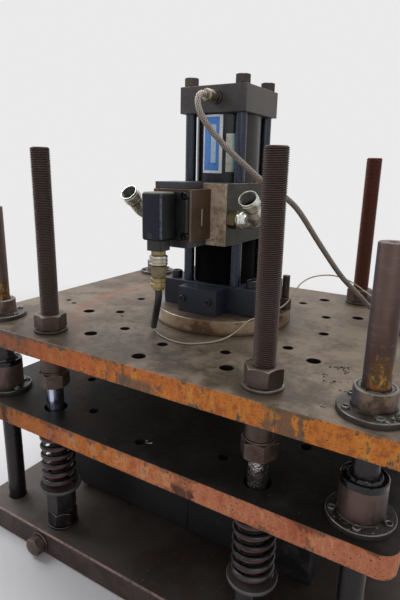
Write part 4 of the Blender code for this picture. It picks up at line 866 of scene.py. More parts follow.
def rounded(left, right, front, back, corner, steps=8):
    """A rectangle's outline with round corners, counter-clockwise."""
    centres = ((right - corner, back - corner), (left + corner, back - corner),
               (left + corner, front + corner), (right - corner, front + corner))
    return [(x + corner * cos(pi / 2 * (quarter + step / steps)),
             y + corner * sin(pi / 2 * (quarter + step / steps)))
            for quarter, (x, y) in enumerate(centres) for step in range(steps + 1)]


def cut(obj, holes, bottom, top, segments=48):
    """Drills round holes, each (x, y, radius), and leaves no helper object behind."""
    drills = Form()
    for x, y, radius in holes:
        drills.turn([(radius, bottom - 0.01), (radius, top + 0.01)], at(x, y, 0), segments)
    tool = put("drills", drills.mesh("drills"))
    modifier = obj.modifiers.new("drilled", "BOOLEAN")
    modifier.operation = "DIFFERENCE"
    modifier.solver = "EXACT"
    modifier.object = tool
    bpy.context.view_layer.update()
    graph = bpy.context.evaluated_depsgraph_get()
    drilled = bpy.data.meshes.new_from_object(obj.evaluated_get(graph))
    obj.modifiers.clear()
    obj.data = drilled
    smooth(drilled)
    bpy.data.objects.remove(tool)
    return obj


def set_camera():
    """The camera at the photograph's viewing angle."""
    data = bpy.data.cameras.new("camera")
    data.lens = CAMERA_LENS
    data.sensor_width = CAMERA_SENSOR
    data.clip_start = 0.01
    camera = put("camera", data)
    camera.matrix_world = (
        Matrix.Translation(CAMERA_PLACE) @ Matrix.Rotation(CAMERA_YAW, 4, "Z")
        @ Matrix.Rotation(pi / 2 - CAMERA_PITCH, 4, "X") @ Matrix.Rotation(CAMERA_ROLL, 4, "Z"))
    bpy.context.scene.camera = camera


def smooth_line(points, spacing):
    """Points at an even spacing on a smooth curve through a route's points."""
    route = [Vector(point) for point in points]
    route = [2 * route[0] - route[1]] + route + [2 * route[-1] - route[-2]]
    fine = []
    for before, start, end, after in zip(route, route[1:], route[2:], route[3:]):
        for step in range(24):
            t = step / 24
            fine.append(0.5 * (2 * start + (end - before) * t
                               + (2 * before - 5 * start + 4 * end - after) * t ** 2
                               + (3 * start - before - 3 * end + after) * t ** 3))
    fine.append(route[-2])
    line = [fine[0]]
    for point in fine[1:]:
        if (point - line[-1]).length >= spacing:
            line.append(point)
    return line


def in_coil(radius, angle, z):
    """A point of the coils, from their middle on the plate's back right corner."""
    return COILS_AT[0] + radius * cos(angle), COILS_AT[1] + radius * sin(angle), z


def wound(angle, turns, diameter, first_z):
    """Points of a clockwise coil: turns are (radius, layer), each a full circle or less."""
    points = []
    for (radius, layer), (next_radius, next_layer), share in turns:
        steps = max(4, int(24 * share))
        for step in range(steps):
            t = step / steps
            blend = max(0.0, (t - 0.72) / 0.28) if share == 1 else t
            blend = blend * blend * (3 - 2 * blend)
            points.append(in_coil(radius + (next_radius - radius) * blend,
                                  angle - 2 * pi * share * t,
                                  first_z + (layer + (next_layer - layer) * blend) * diameter))
        angle -= 2 * pi * share
    return points


def make_cord(name, finish, nodes, slot, line, diameter, sides,
              make_end=None):
    """A cord along a line, and the piece at its far end."""
    obj = Form().wire(line, diameter / 2, sides, True).piece(name, finish, nodes, slot)
    [make_end(line)] if make_end else []


def make_cords():
    """The valve's cable, the sensor's braided hose and the thin lead, at their real length."""
    make_cord("valve_cable_sleeve", "sleeve_black", "valve_cable", "cable_rubber",
              smooth_line(CABLE_ROUTE, 0.003), CABLE_DIAMETER, 20)

    d = HOSE_DIAMETER
    low = PLATE_TOP + FACE_GAP + d / 2
    inner, outer = HOSE_COIL - d / 2, HOSE_COIL + d / 2
    loops = wound(radians(150), (
        ((outer, 1), (inner, 1), 1), ((inner, 1), (inner, 0), 1), ((inner, 0), (outer, 0), 1),
        ((outer, 0), (outer, 0), 0.42)), d, low)
    tail = [in_coil(radius, radians(angle), low + rise) for radius, angle, rise in (
        (0.068, -18, 0), (0.072, -33, 0.001), (0.0775, -46, 0.002), (0.0823, -59.6, 0.0034))]
    make_cord("sensor_hose_braid", "hose_braid_grey", "sensor_hose sensor_hose_coil",
              "hose_braid", smooth_line(list(HOSE_ROUTE) + loops + tail, 0.0035), d, 20,
              make_plug)

    d = LEAD_DIAMETER
    low = PLATE_TOP + FACE_GAP + d / 2
    first, last, end_share = 120, 8, 0.8
    small, medium, large = 0.014, 0.017, 0.02
    order = [(large, 2), (medium, 2), (small, 2), (small, 1), (medium, 1), (large, 1),
             (large, 0), (medium, 0), (small, 0)]
    turns = [(a, b, 1) for a, b in zip(order, order[1:])] + [(order[last], order[last], end_share)]
    end = radians(first - 360 * end_share)
    ending = [in_coil(0.0105, end - 0.35, low), in_coil(0.0065, end - 0.9, low + 0.0008)]
    route = list(LEAD_ROUTE) + wound(radians(first), turns, d, low) + ending
    make_cord("thin_lead_wire", "lead_beige", "thin_lead thin_lead_coil", "lead_sheath",
              smooth_line(route, 0.0022), d, 10,
              make_lead_socket)


def make_lead_socket(line):
    """The small flat connector at the thin lead's end."""
    heading = (line[-1] - line[-2]).normalized()
    return Form().prism(
        rounded(-0.0035, 0.0035, -0.0025, 0.0025, 0.0008, 4), 0, 0.007,
        at(*(line[-1] + heading * 0.0001), heading)).piece(
            "lead_connector", "lead_socket_white", bevel=0.0004)


def make_plug(_):
    """The round connector at the hose's end."""
    angle = radians(-60)
    height = 0.009
    centre = in_coil(HOSE_COIL + HOSE_DIAMETER + height + FACE_GAP, angle,
                     PLATE_TOP + FACE_GAP + height)
    form = Form().stack(
        at(*centre, (sin(angle), -cos(angle), 0)),
        (0, [(0.0059, 0), (0.007, 0.005), (0.0072, 0.015), (0.0086, 0.017)]),
        (0, knurl(0.0086, 0.0003, 24, 0.0172, 0.043), 96),
        (0, [(0.0081, 0.0432), (0.0081, 0.05), (0.0069, 0.05), (0.0069, 0.045)]))
    return form.piece("sensor_plug_body", "connector_brass", "sensor_plug", "fitting_brass")


def circle(spec):
    """The holes of a circle, as cut takes them."""
    reach, radius, angles = spec
    return [(reach * cos(radians(a)), reach * sin(radians(a)), radius) for a in angles]


def corners(x, y):
    """A point near each corner of the plates, as (name, x, y)."""
    return [(name, sx * x, sy * y) for name, sx, sy in CORNERS]


def four(x, y, radius):
    """A hole near each corner."""
    return [(x, y, radius) for _, x, y in corners(x, y)]


def make_slab(name, finish, node, slot, body, half_y, corner, bottom, top, holes, bevel, rounds):
    outline = rounded(-PLATE_HALF_X, PLATE_HALF_X, -half_y, half_y, corner)
    slab = Form().prism(outline, bottom, top).piece(name, finish, node, slot, body)
    add_bevel(cut(slab, holes, bottom, top), bevel, rounds)


def make_plates():
    """The base, the moving platen, the top plate and the bolster, with all their holes."""
    make_slab("base_slab", "base_dark_oiled", "base_plate", "base_steel", "frame", BASE_HALF_Y,
              0.02, 0, BASE_TOP, four(ROD_X, ROD_Y, ROD_RADIUS + FACE_GAP)
              + four(POST_X, POST_Y, POST_RADIUS + FACE_GAP), 0.004, 3)
    make_slab("platen_slab", "platen_edge_salmon", "platen", "plate_steel", "carriage",
              PLATE_HALF_Y, 0.026, PLATEN_BOTTOM, PLATEN_TOP, four(ROD_X, ROD_Y, PLATEN_ROD_HOLE)
              + four(POST_X, POST_Y, BUSHING_HOLE) + circle(PLATEN_CIRCLE), 0.001, 2)
    small_holes = [(-0.373, -0.112, 0.006), (-0.343, -0.124, 0.006), (-0.179, -0.14, 0.003)]
    make_slab("top_slab", "plate_edge_orange", "top_plate", "plate_steel", "frame",
              PLATE_HALF_Y, 0.01, PLATE_BOTTOM, PLATE_TOP, four(ROD_X, ROD_Y, PLATE_ROD_HOLE)
              + four(POST_X, POST_Y, BUSHING_HOLE) + circle(INNER_CIRCLE) + circle(OUTER_CIRCLE)
              + [(0, 0, RAM_HOLE)] + small_holes, 0.001, 2)

    outline = [(-BOLSTER_FOOT, BOLSTER_BOTTOM), (BOLSTER_FOOT, BOLSTER_BOTTOM),
               (BOLSTER_FOOT, BOLSTER_STEP), (BOLSTER_HALF, BOLSTER_STEP),
               (BOLSTER_HALF, BOLSTER_TOP), (-BOLSTER_HALF, BOLSTER_TOP),
               (-BOLSTER_HALF, BOLSTER_STEP), (-BOLSTER_FOOT, BOLSTER_STEP)]
    lying = Matrix(((0, 0, 1, 0), (1, 0, 0, 0), (0, 1, 0, 0), (0, 0, 0, 1)))
    block = Form().prism(outline, -BOLSTER_LENGTH, 0.0295, lying)
    block.prism(outline, 0.03, BOLSTER_LENGTH, lying)
    block.piece("bolster_blocks", "bolster_black_oil", "bolster", "block_steel", bevel=0.0015)


def make_side_bolt():
    form = Form().stack(
        at(-0.252, -BASE_HALF_Y - FACE_GAP, 0.0255, (0, -1, 0), 0.2),
        (0, [(0.0225, 0), (0.0235, 0.0008), (0.0235, 0.0034), (0.0229, 0.004)]),
        (0, *hexagon(0.036, 0.004, 0.0236)),
        (0, [(0.0135, 0.0231), (0.0135, 0.0238), (0.0128, 0.024)]))
    form.piece("side_bolt_head", "nut_brown", "side_bolt", "nut_steel", bevel=0.0003)


def make_rods():
    """Tie rods with their threads, nuts, sleeves, spring seats and springs."""
    core = ROD_RADIUS - THREAD_DEPTH
    for corner, x, y in corners(ROD_X, ROD_Y):
        place = at(x, y, 0)
        turned = at(x, y, 0, None, NUT_SPINS[corner])
        front_right = corner == "front_right"
        form = Form().turn([
            (core, ROD_FOOT), (ROD_RADIUS, ROD_FOOT + 0.0025), (ROD_RADIUS, SHANK_TOP - 0.002),
            (core, SHANK_TOP)], place)
        form.slot = 1
        form.thread(ROD_RADIUS, THREAD_DEPTH, SHANK_TOP - 0.0005, ROD_TOP - 0.0022, THREAD_PITCH,
                    place)
        form.turn([(core, ROD_TOP - 0.003), (core, ROD_TOP - 0.0016), (core - 0.0014, ROD_TOP),
                   (0.002, ROD_TOP), (0, ROD_TOP - 0.001)], place)
        shank = "shank_grease" if front_right else "shank_oiled"
        form.piece(f"threaded_rod_{corner}", f"{shank} thread_brown", f"tie_rod_{corner}",
                   "rod_steel")

        washer = PLATE_TOP + FACE_GAP
        nut = washer + WASHER_THICKNESS
        form = Form().stack(place, (1, *ring(WASHER_RADIUS, washer, nut, WASHER_EDGE)))
        form.stack(turned, (0, *hexagon(NUT_FLATS, nut, nut + NUT_HEIGHT, NUT_BORE)))
        under = "washer_rubbed" if front_right else "washer_dull"
        form.piece(f"clamp_nut_{corner}", f"nut_brown {under}", f"top_nut_{corner}",
                   "nut_steel", bevel=0.0004, rounds=1)

        top = PLATE_BOTTOM - FACE_GAP
        sleeve = top - 0.045
        nut = sleeve - 0.003
        form = Form().stack(
            place, (0, *ring(0.025, sleeve, top, 0.001)), (0, *ring(0.027, nut, sleeve, 0.0005)))
        form.stack(turned, (0, *hexagon(NUT_FLATS, nut - NUT_HEIGHT, nut, NUT_BORE)))
        form.piece(f"lower_nut_{corner}", "nut_brown", f"under_nut_{corner}", "nut_steel",
                   bevel=0.0004, rounds=1)

        foot = BASE_TOP + FACE_GAP
        washer = foot + WASHER_THICKNESS
        nut = washer + NUT_HEIGHT
        form = Form().stack(place, (0, *ring(WASHER_RADIUS, foot, washer, WASHER_EDGE)))
        form.stack(turned, (0, *hexagon(NUT_FLATS, washer, nut, NUT_BORE)))
        form.stack(
            place, (0, *hexagon(NUT_FLATS, nut, nut + COUPLER_HEIGHT, NUT_BORE)),
            (1, [(NUT_BORE, SEAT_BOTTOM), (SEAT_RADIUS - 0.006, SEAT_BOTTOM),
                 (SEAT_RADIUS, SEAT_BOTTOM + 0.004), (SEAT_RADIUS, SEAT_TOP - 0.001),
                 (SEAT_RADIUS - 0.001, SEAT_TOP), (SEAT_RADIUS - 0.0045, SEAT_TOP),
                 (SEAT_RADIUS - 0.0052, SEAT_TOP - 0.0006), (NUT_BORE, SEAT_TOP - 0.0006)],
             72, True))
        form.piece(f"spring_cup_{corner}", "foot_nut_black_oil cup_dull_grey",
                   f"spring_seat_{corner}", "nut_steel", bevel=0.0004, rounds=1)

        spring = Form().wire(spring_line(x, y), WIRE_RADIUS).piece(
            f"return_spring_{corner}", "spring_black_grease", f"spring_{corner}", "spring_steel")
        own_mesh(spring)


def spring_line(x, y):
    """The wire's centre: a closed turn at each end and open turns between."""
    closed = 2 * WIRE_RADIUS + 0.0008
    first = SEAT_TOP + FACE_GAP + WIRE_RADIUS
    pitch = (SPRING_LENGTH - 2 * FACE_GAP - 2 * WIRE_RADIUS - 2 * closed) / SPRING_TURNS
    points = []
    for step in range((SPRING_TURNS + 2) * 30 + 1):
        turn = step / 30
        opened = min(max(turn - 1, 0), SPRING_TURNS)
        last = max(turn - 1 - SPRING_TURNS, 0)
        height = first + min(turn, 1) * closed + opened * pitch + last * closed
        points.append((x + SPRING_RADIUS * cos(2 * pi * turn),
                       y + SPRING_RADIUS * sin(2 * pi * turn), height))
    return points


def make_posts():
    """Guide posts and the flanged bushings in the top plate and the platen."""
    for corner, x, y in corners(POST_X, POST_Y):
        form = Form()
        form.turn([(POST_RADIUS - 0.002, POST_FOOT), (POST_RADIUS, POST_FOOT + 0.002),
                   (POST_RADIUS, POST_TOP - 0.002), (POST_RADIUS - 0.0006, POST_TOP - 0.0005),
                   (POST_RADIUS - 0.002, POST_TOP), (0.0072, POST_TOP), (0.006, POST_TOP - 0.0012),
                   (0.006, POST_TOP - 0.024)], at(x, y, 0), 64)
        form.piece(f"guide_column_{corner}", "post_purple_brown", f"guide_post_{corner}",
                   "post_steel")
        make_bushing(f"upper_guide_{corner}", f"top_bushing_{corner}", "frame", x, y,
                     PLATE_BOTTOM, PLATE_TOP, 0.0305, 0.03, 5, "bushing_stained",
                     "grime_grey", 0.005)
        make_bushing(f"platen_guide_{corner}", f"platen_bushing_{corner}", "carriage", x, y,
                     PLATEN_BOTTOM, PLATEN_TOP, 0.0345, 0.062, -84, "collar_oily",
                     "grease_black", 0.0075)


def make_bushing(name, node, body, x, y, bottom, plate, radius, height, first, collar, grease,
                 bead):
    """A flanged bushing with its five cap screws, and the grease in its wiper's mouth."""
    bore = POST_RADIUS + 0.0004
    flange = plate + FACE_GAP
    seat = flange + FLANGE_HEIGHT
    top = seat + height
    form = Form().stack(
        at(x, y, 0),
        (2, [(bore, bottom), (0.027, bottom), (0.027, flange), (FLANGE_RADIUS, flange),
             (FLANGE_RADIUS, seat - 0.001), (FLANGE_RADIUS - 0.001, seat),
             (radius - 0.001, seat), (bore, seat)], 72, True),
        (0, [(bore, seat), (radius + 0.002, seat), (radius, seat + 0.002),
             (radius, top - 0.0015), (radius - 0.0015, top), (radius - 0.0045, top),
             (radius - 0.005, top - 0.003), (bore, top - 0.0035)], 72, True))
    form.slot = 1
    for k in range(5):
        angle = radians(first) + radians(72 * k)
        screw = at(x + 0.042 * cos(angle), y + 0.042 * sin(angle), seat - 0.004, None, 0.4 * k)
        form.socket_screw(screw, 0.006, 0.0078)
    form.piece(name, f"{collar} screw_rubbed flange_greasy", node, "bushing_steel", body,
               0.0003, 1)
    make_grease(f"{name}_grease", grease, body, x, y, top - 0.004, bead)


def make_grease(name, finish, body, x, y, bottom, height):
    """The uneven bead of old grease that a wiper has pushed up round its post."""
    phase = 11 * x + 17 * y
    inner = POST_RADIUS + 0.0003

    def rows(angle):
        swell = (0.5 * sin(3 * angle + phase) + 0.3 * sin(7 * angle + 2 * phase)
                 + 0.2 * sin(13 * angle + 3 * phase))
        top = bottom + height * (0.75 + 0.35 * swell)
        reach = 0.0262 + 0.0008 * swell
        return [(inner, bottom), (reach, bottom), (reach, bottom + 0.4 * (top - bottom)),
                (inner + 0.6 * (reach - inner), top), (inner + 0.0004, top - 0.0004)]
    Form().turn(rows, at(x, y, 0), 96, True).piece(name, finish, body=body)


def make_cylinder():
    """The disc, head, tube, stays and cap of the cylinder, and its piston."""
    low = PLATE_TOP + FACE_GAP
    form = Form().turn([
        (RAM_HOLE, low), (DISC_RADIUS - 0.0008, low), (DISC_RADIUS, low + 0.0008),
        (DISC_RADIUS, DISC_TOP - 0.0015), (DISC_RADIUS - 0.0015, DISC_TOP),
        (RAM_HOLE, DISC_TOP)], None, 128, True)
    stud = at(0.136, 0.028, DISC_TOP)
    form.stack(
        stud, (1, *hexagon(0.024, -0.001, 0.026)), (1, [(0.0068, 0.02), (0.0068, 0.026)], 24))
    form.thread(0.008, 0.0009, 0.026, 0.0735, 0.0015, stud, 20)
    form.turn([(0.0071, 0.06), (0.0071, 0.0734), (0.006, 0.074)], stud, 24)
    form.piece("adapter_ring", "disc_turned nut_brown", "adapter_disc", "disc_steel")

    form = Form()
    form.box((-HEAD_HALF_X, -CAP_HALF, HEAD_BOTTOM), (HEAD_HALF_X, CAP_HALF, HEAD_TOP))
    form.slot = 1
    for _, x, y in corners(0.092, 0.05):
        form.socket_screw(at(x, y, HEAD_TOP - 0.0002), 0.012, 0.0162)
    form.piece("head_flange", "cylinder_black screw_black", "cylinder_head", "cylinder_paint",
               bevel=0.0012)

    back = -CAP_HALF - FACE_GAP
    front = back - 0.042
    form = Form().box((-0.045, front, HEAD_BOTTOM), (0.045, back, HEAD_BOTTOM + 0.053))
    form.slot = 1
    for x in (-0.034, 0.028):
        form.socket_screw(at(x, front + 0.0002, HEAD_BOTTOM + 0.028, (0, -1, 0)), 0.0068, 0.005)
    form.piece("retainer", "cylinder_black screw_black", "retainer_block", "cylinder_paint",
               bevel=0.0012)

    form = Form().turn([(TUBE_BORE, TUBE_BOTTOM), (TUBE_RADIUS, TUBE_BOTTOM),
                        (TUBE_RADIUS, TUBE_TOP), (TUBE_BORE, TUBE_TOP)], None, 96, True)
    form.piece("barrel", "barrel_black", "cylinder_tube", "cylinder_paint")

    cap = Form().box((-CAP_HALF, -CAP_HALF, CAP_BOTTOM), (CAP_HALF, CAP_HALF, CAP_TOP)).piece(
        "cap_block", "cap_dusty_black", "cylinder_cap", "cylinder_paint")
    stay_holes = four(STAY_OFFSET, STAY_OFFSET, STAY_RADIUS + FACE_GAP)
    add_bevel(cut(cap, stay_holes, CAP_BOTTOM, CAP_TOP), 0.0012)

    nut = CAP_TOP + FACE_GAP
    top = nut + STAY_NUT_HEIGHT
    for corner, x, y in corners(STAY_OFFSET, STAY_OFFSET):
        form = Form().stack(
            at(x, y, 0),
            (0, [(STAY_RADIUS, HEAD_TOP + FACE_GAP), (STAY_RADIUS, nut + 0.002)], 32),
            (1, *hexagon(STAY_NUT_FLATS, nut, top - 0.0005)),
            (1, [(0.01, top - 0.001), (0.009, top)], 32))
        form.piece(f"stay_bolt_{corner}", "stay_black cap_nut_brown", f"cylinder_stay_{corner}",
                   "cylinder_paint")

    foot = PLATEN_TOP + FACE_GAP
    collar = foot + 0.022
    form = Form().turn([(0.06, foot), (0.06, collar - 0.002), (0.058, collar), (0.028, collar),
                        (0.028, 0.7622), (0.0495, 0.7622), (0.0495, 0.8122)], None, 64)
    form.piece("ram", "ram_chrome", "piston_rod", "ground_rod", "carriage")


def make_labels():
    """Two plain foil plates on the front of the barrel, one with a bare blue field."""
    for name, finish, lift, left, right, bottom, top in (
            ("barrel_plate", "label_white", 0.0003, -0.024, 0.02, 0.82, 0.93),
            ("barrel_field", "label_blue", 0.00045, -0.0205, 0.0135, 0.825, 0.926),
            ("barrel_panel", "label_pale", 0.0006, -0.004, 0.007, 0.84, 0.912),
            ("side_plate_left", "label_beige", 0.0003, 0.0268, 0.0375, 0.823, 0.895),
            ("side_plate_middle", "label_aqua", 0.0003, 0.0375, 0.0405, 0.823, 0.895),
            ("side_plate_right", "label_teal", 0.0003, 0.0405, 0.052, 0.823, 0.895)):
        radius = TUBE_RADIUS + lift
        arcs = [asin((left + (right - left) * i / 10) / radius) for i in range(11)]
        vertices = [(radius * sin(a), -radius * cos(a), z) for z in (bottom, top) for a in arcs]
        faces = [[i, i + 1, i + 12, i + 11] for i in range(10)]
        Form().add(vertices, faces).piece(name, finish)


def make_valve():
    """The manifold round the barrel, the servo valve, its cover, connector and ports."""
    block = Form().box((-CAP_HALF, MANIFOLD_FRONT, MANIFOLD_BOTTOM),
                       (CAP_HALF, CAP_HALF, MANIFOLD_TOP))
    block = block.piece("manifold_block", "manifold_stained", "manifold", "manifold_steel")
    holes = four(STAY_OFFSET, STAY_OFFSET, STAY_RADIUS + FACE_GAP)
    holes.append((0, 0, TUBE_RADIUS + FACE_GAP))
    add_bevel(cut(block, holes, MANIFOLD_BOTTOM, MANIFOLD_TOP, 96), 0.001)

    back = MANIFOLD_FRONT - FACE_GAP
    form = Form().box((-0.041, -0.205, 0.7), (0.039, back, 0.792))
    form.slot = 1
    form.box((-0.041, -0.2, 0.7921), (0.022, back, 0.8045))
    form.box((-0.036, -0.2, 0.6875), (0.03, back, 0.6999))
    form.slot = 2
    form.box((0.0389, -0.168, 0.727), (0.0395, -0.165, 0.757))
    form.prism(((0.0375, -0.2053), (0.0393, -0.2035), (0.039, -0.203), (0.037, -0.205)),
               0.7012, 0.7908)
    form.piece("valve_block", "valve_anodised_brown slab_black mark_light", "valve_body",
               "valve_anodised", bevel=0.001)

    form = Form().prism(rounded(-0.028, 0.016, -0.261, HOOD_FLANGE[0], 0.007), *HOOD_HEIGHTS)
    form.piece("valve_hood", "hood_black", "valve_cover", "black_plastic", bevel=0.005, rounds=5)
    outline = scalloped(*HOOD_SIDES, *HOOD_HEIGHTS, HOOD_SCREWS, 0.0075)
    form = Form().prism(outline, -HOOD_FLANGE[1], -HOOD_FLANGE[0],
                        Matrix.Rotation(pi / 2, 4, "X"))
    form.prism(rounded(-0.0235, 0.0075, -0.2525, -0.2195, 0.005), 0.686, 0.7107)
    form.piece("hood_flange_and_neck", "hood_foot_black", slot="black_plastic")
    form = Form()
    for x, z in HOOD_SCREWS:
        form.socket_screw(at(x, HOOD_FLANGE[1] + 0.0002, z, (0, -1, 0)), 0.0055, 0.0075)
    form.piece("hood_corner_screws", "screw_black")
    dimple = at(-0.009, -0.2609, 0.7137, (0, -1, 0))
    form = Form().turn([(0.0048, 0), (0.0047, 0.0003), (0.0036, 0.0003), (0.0034, 0.0001)],
                       dimple, 32)
    # the screw in the dimple takes the near-black painted shade
    form.slot = 1
    form.socket_screw(dimple, 0.0032, 0.0004)
    form.piece("hood_front_screw", "slab_black hollow_black")

    place = at(*CONNECTOR, (0, 0, -1))
    form = Form().stack(
        place,
        (0, [(0.0122, 0), (0.0129, 0.0006), (0.0129, 0.0068), (0.0122, 0.0073)]),
        (3, [(0.0128, 0.0073), (0.0128, 0.0088)], 32),
        (3, [(0.0105, 0.0262), (0.0105, 0.028)], 32),
        (3, [(0.012, 0.048), (0.012, 0.0498)], 32),
        (1, [(0.014, 0.0088), (0.016, 0.0094), (0.0165, 0.0104), (0.0165, 0.0138),
             (0.0154, 0.0146), (0.0154, 0.016), (0.0165, 0.0167), (0.0165, 0.0205),
             (0.0156, 0.0212), (0.0156, 0.0224), (0.0165, 0.0231), (0.0165, 0.0252),
             (0.015, 0.0263)], 72),
        (3, [(0.012, 0.0277), (0.0131, 0.0284), (0.0131, 0.0302)], 64),
        (3, knurl(0.0131, 0.0004, 28, 0.0302, 0.0458), 168),
        (3, [(0.0131, 0.0458), (0.0131, 0.0474), (0.012, 0.0482)], 64),
        (0, [(0.0132, 0.0496), (0.0145, 0.0504), (0.0145, 0.0566), (0.0138, 0.0572),
             (0.0138, 0.059), (0.0145, 0.0596), (0.0145, 0.0662), (0.0134, 0.067)], 64),
        (0, [(0.0102, 0.067), (0.0102, 0.0715), (0.009, 0.073)]))
    form.slot = 2
    form.socket_screw(place @ at(0.0128, 0.002, 0.063, (1, 0.15, 0)), 0.0026, 0.0032)
    form.piece("cable_connector",
               "connector_brass connector_nickel screw_rubbed connector_dark_brass",
               "valve_connector", "fitting_brass", bevel=0.0002, rounds=1)
    make_elbows()

    form = Form().stack(
        at(0.0085, -CAP_HALF - FACE_GAP, 0.96, (0, -1, 0)),
        (0, [(0.013, 0), (0.0135, 0.0006), (0.0135, 0.0045), (0.0122, 0.0055)]),
        (0, *hexagon(0.0225, 0.0055, 0.0125)),
        (1, [(0.0097, 0.0125), (0.0097, 0.02), (0.0112, 0.0212), (0.0112, 0.0345),
             (0.0096, 0.0365), (0.0078, 0.037), (0.0078, 0.04)]))
    form.piece("sensor_gland_body", "fitting_dull_brown ferrule_dull", "sensor_gland",
               "fitting_brass")

    form = Form()
    for x, y in ((0.039, 0.045), (0.0662, 0.002)):
        form.turn([(0.005, 0), (0.005, 0.004), (0.004, 0.005)], at(x, y, MANIFOLD_TOP), 24)
    form.piece("red_caps", "cap_red")


def scalloped(left, right, low, high, centres, radius):
    """A rectangle's outline whose corners are cut out round the screws at the centres,
    given from the lower right corner and on, counter-clockwise."""
    outline = []
    corners = ((right, low), (right, high), (left, high), (left, low))
    for index, ((x, z), (corner_x, corner_z)) in enumerate(zip(centres, corners)):
        along_x = (corner_x - x) / radius
        along_z = (corner_z - z) / radius
        to_side = (along_x, (1 - along_x ** 2) ** 0.5 * (-1 if corner_z > z else 1))
        to_end = ((1 - along_z ** 2) ** 0.5 * (-1 if corner_x > x else 1), along_z)
        first, last = (to_end, to_side) if index % 2 == 0 else (to_side, to_end)
        start = atan2(first[1], first[0])
        sweep = (atan2(last[1], last[0]) - start) % (2 * pi) - 2 * pi
        outline += [(x + radius * cos(start + sweep * step / 10),
                     z + radius * sin(start + sweep * step / 10)) for step in range(11)]
    return outline


def make_elbows():
    """The two open elbow fittings, with thread in their mouths."""
    for name, node, side in (("left_elbow", "elbow_left", -1), ("right_elbow", "elbow_right", 1)):
        across = Vector((side, 0, 0))
        up = Vector((0, -cos(ELBOW_TILT), sin(ELBOW_TILT)))
        start = Vector((side * (CAP_HALF + FACE_GAP), PORT_Y, PORT_HEIGHT))
        inner = start + across * ELBOW_NECK
        form = Form().stack(
            at(*start, across),
            (0, *hexagon(0.03, 0, 0.016)),
            (1, [(0.0125, 0.016), (0.0125, 0.0185), (0.015, 0.0192), (0.0155, 0.02),
                 (0.0155, 0.026), (0.015, 0.0268), (0.0138, 0.0272), (0.0138, 0.034)]))
        bend = [inner + ELBOW_BEND * (across * sin(t) + up * (1 - cos(t)))
                for t in [pi / 2 * k / 16 for k in range(17)]]
        leg = [bend[-1] + up * (0.004 * k) for k in range(1, 5)]
        form.wire([inner - across * 0.004, inner - across * 0.002] + bend + leg, 0.015, 40)
        place = at(*(inner + ELBOW_BEND * (across + up)), up)
        form.stack(
            place,
            (1, [(0.014, 0.0172), (0.015, 0.0172), (0.015, 0.02), (0.0172, 0.0216),
                 (0.018, 0.0236), (0.018, 0.0372), (0.0174, 0.038), (0.0174, 0.0412),
                 (0.0168, 0.0425), (0.0158, 0.0425), (0.0154, 0.042), (0.0154, 0.018)],
             72, True),
            # slot 2, the bore, is painted dark as shade
            (2, [(0.0146, 0.0176), (0.01535, 0.0176), (0.01535, 0.0414), (0.0146, 0.0408)],
             72, True),
            (2, [(0.015, 0.0164), (0.015, 0.0178)]))
        form.thread(0.014, -0.0007, 0.019, 0.0406, 0.0018, place)
        form.piece(name, "adapter_bronze elbow_zinc_plate elbow_bore_dull", node, "elbow_zinc")


def make_crumbs():
    """Swarf and dry grease crumbs round the right-hand bushing."""
    random = Random(7)
    form = Form()
    for middle_x, middle_y, spread, count, largest in (
            (0.309, -0.16, 0.01, 16, 0.0032), (0.32, -0.153, 0.009, 10, 0.0026),
            (0.3275, -0.168, 0.006, 6, 0.0022), (0.2964, -0.1994, 0.007, 5, 0.002),
            (0.315, -0.224, 0.009, 8, 0.0021), (0.3464, -0.25, 0.009, 12, 0.0024),
            (0.332, -0.309, 0.008, 9, 0.0023), (0.33, -0.215, 0.05, 24, 0.001)):
        for _ in range(count):
            x, y = random.gauss(middle_x, spread * 0.5), random.gauss(middle_y, spread * 0.5)
            if hypot(x - POST_X, y + POST_Y) >= FLANGE_RADIUS + 0.002:
                add_crumb(form, x, y, PLATE_TOP, largest, random)
    crumbs_on_flange(form, 60, radians(-72), radians(8), 0.033, 0.047, PLATE_TOP, 0.0034, random)
    form.piece("swarf_crumbs", "crumb_dark crumb_pale")
    form = Form()
    crumbs_on_flange(form, 70, 0, 2 * pi, 0.0365, 0.05, PLATEN_TOP, 0.002, random)
    form.piece("platen_crumbs", "crumb_dark crumb_pale", body="carriage")

    turns = [(0.008 + 0.0045 * cos(t) + 0.0016 * t, -0.301 + 0.003 * sin(t),
              PLATEN_TOP + 0.0016 + 0.0008 * sin(1.3 * t)) for t in [0.35 * k for k in range(30)]]
    Form().wire(turns, 0.0006, 6).piece("swarf_curl", "connector_nickel", body="carriage")


def crumbs_on_flange(form, count, first, last, near, far, plate, largest, random):
    for _ in range(count):
        angle = random.uniform(first, last)
        reach = random.uniform(near, far)
        add_crumb(form, POST_X + reach * cos(angle), -POST_Y + reach * sin(angle),
                  plate + FACE_GAP + FLANGE_HEIGHT, largest, random)


def add_crumb(form, x, y, ground, largest, random):
    size = random.uniform(0.0004, largest)
    flat = random.uniform(0.3, 0.6)
    form.slot = random.choice((0, 0, 0, 1))
    place = at(x, y, ground + size * flat, None, random.uniform(0, pi))
    stretch = Matrix.Diagonal((random.uniform(0.6, 2.2), 1, 1, 1))
    form.turn([(size * 0.6, -size * flat), (size, 0), (size * 0.5, size * flat)],
              place @ stretch, 5)


def add_lamp(name, place, aim, size, energy, colour):
    data = bpy.data.lights.new(name, "AREA")
    data.shape = "RECTANGLE"
    data.size, data.size_y = size
    data.energy = energy
    data.color = colour
    lamp = put(name, data)
    lamp.location = place
    heading = Vector(aim) - Vector(place)
    lamp.rotation_euler = heading.to_track_quat("-Z", "Y").to_euler()


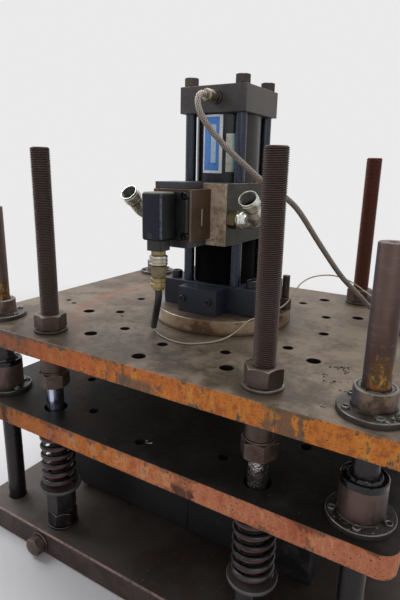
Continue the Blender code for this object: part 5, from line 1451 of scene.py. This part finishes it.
def make_stage():
    """The floor, the world and the soft lamps."""
    bpy.context.scene.view_settings.view_transform = "Standard"
    finish = Finish("floor_pale")
    tone = finish.noise(1.5, 3, 0.5)
    finish.set(finish.layers((0.74, 0.725, 0.715), ((0.7, 0.685, 0.675), tone)), 0.8)
    across, depth = finish.along(0), finish.along(1)
    away = (across * across + depth * depth).step(1.6, 7.0)
    finish.show("Material Output", away, "Principled BSDF",
                finish.node("ShaderNodeBsdfTransparent"))
    reach = 12
    outline = [(-reach, -reach), (reach, -reach), (reach, reach), (-reach, reach)]
    form = Form().add([(x, y, -0.0005) for x, y in outline], [(0, 1, 2, 3)])
    put("floor", form.mesh("floor", "floor_pale"))

    world = bpy.data.worlds.new("studio")
    bpy.context.scene.world = world
    sky = Tree(world)
    light = sky.nodes["Background"]
    sky.feed(light.inputs["Color"], (0.9, 0.93, 1.0))
    sky.feed(light.inputs["Strength"], 0.33)
    seen, glossy = (sky.node("ShaderNodeLightPath", output=output)
                    for output in ("Is Camera Ray", "Is Glossy Ray"))
    sky.show("World Output", seen.most(glossy), "Background",
             sky.node("ShaderNodeBackground", None, {"Color": (0.832, 0.824, 0.832)}))

    add_lamp("window", (-1.9, -0.2, 2.0), (0, 0, 0.6), (1.6, 1.4), 40, (0.92, 0.95, 1.0))
    add_lamp("ceiling", (0.2, 0.7, 2.8), (0, 0, 0.5), (2.4, 1.8), 50, (1.0, 0.98, 0.95))
    add_lamp("front_fill", (1.4, -2.2, 1.7), (0, 0, 0.5), (1.6, 1.2), 7, (1.0, 0.96, 0.92))


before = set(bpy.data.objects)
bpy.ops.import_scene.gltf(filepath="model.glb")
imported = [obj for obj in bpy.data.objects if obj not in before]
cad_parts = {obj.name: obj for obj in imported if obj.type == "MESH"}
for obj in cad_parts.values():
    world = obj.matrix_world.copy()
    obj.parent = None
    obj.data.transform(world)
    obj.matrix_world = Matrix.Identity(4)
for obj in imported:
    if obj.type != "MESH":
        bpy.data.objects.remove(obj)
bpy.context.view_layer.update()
set_camera()
make_finishes()
make_cords()
make_plates()
make_side_bolt()
make_rods()
make_posts()
make_cylinder()
make_labels()
make_valve()
make_crumbs()
make_stage()
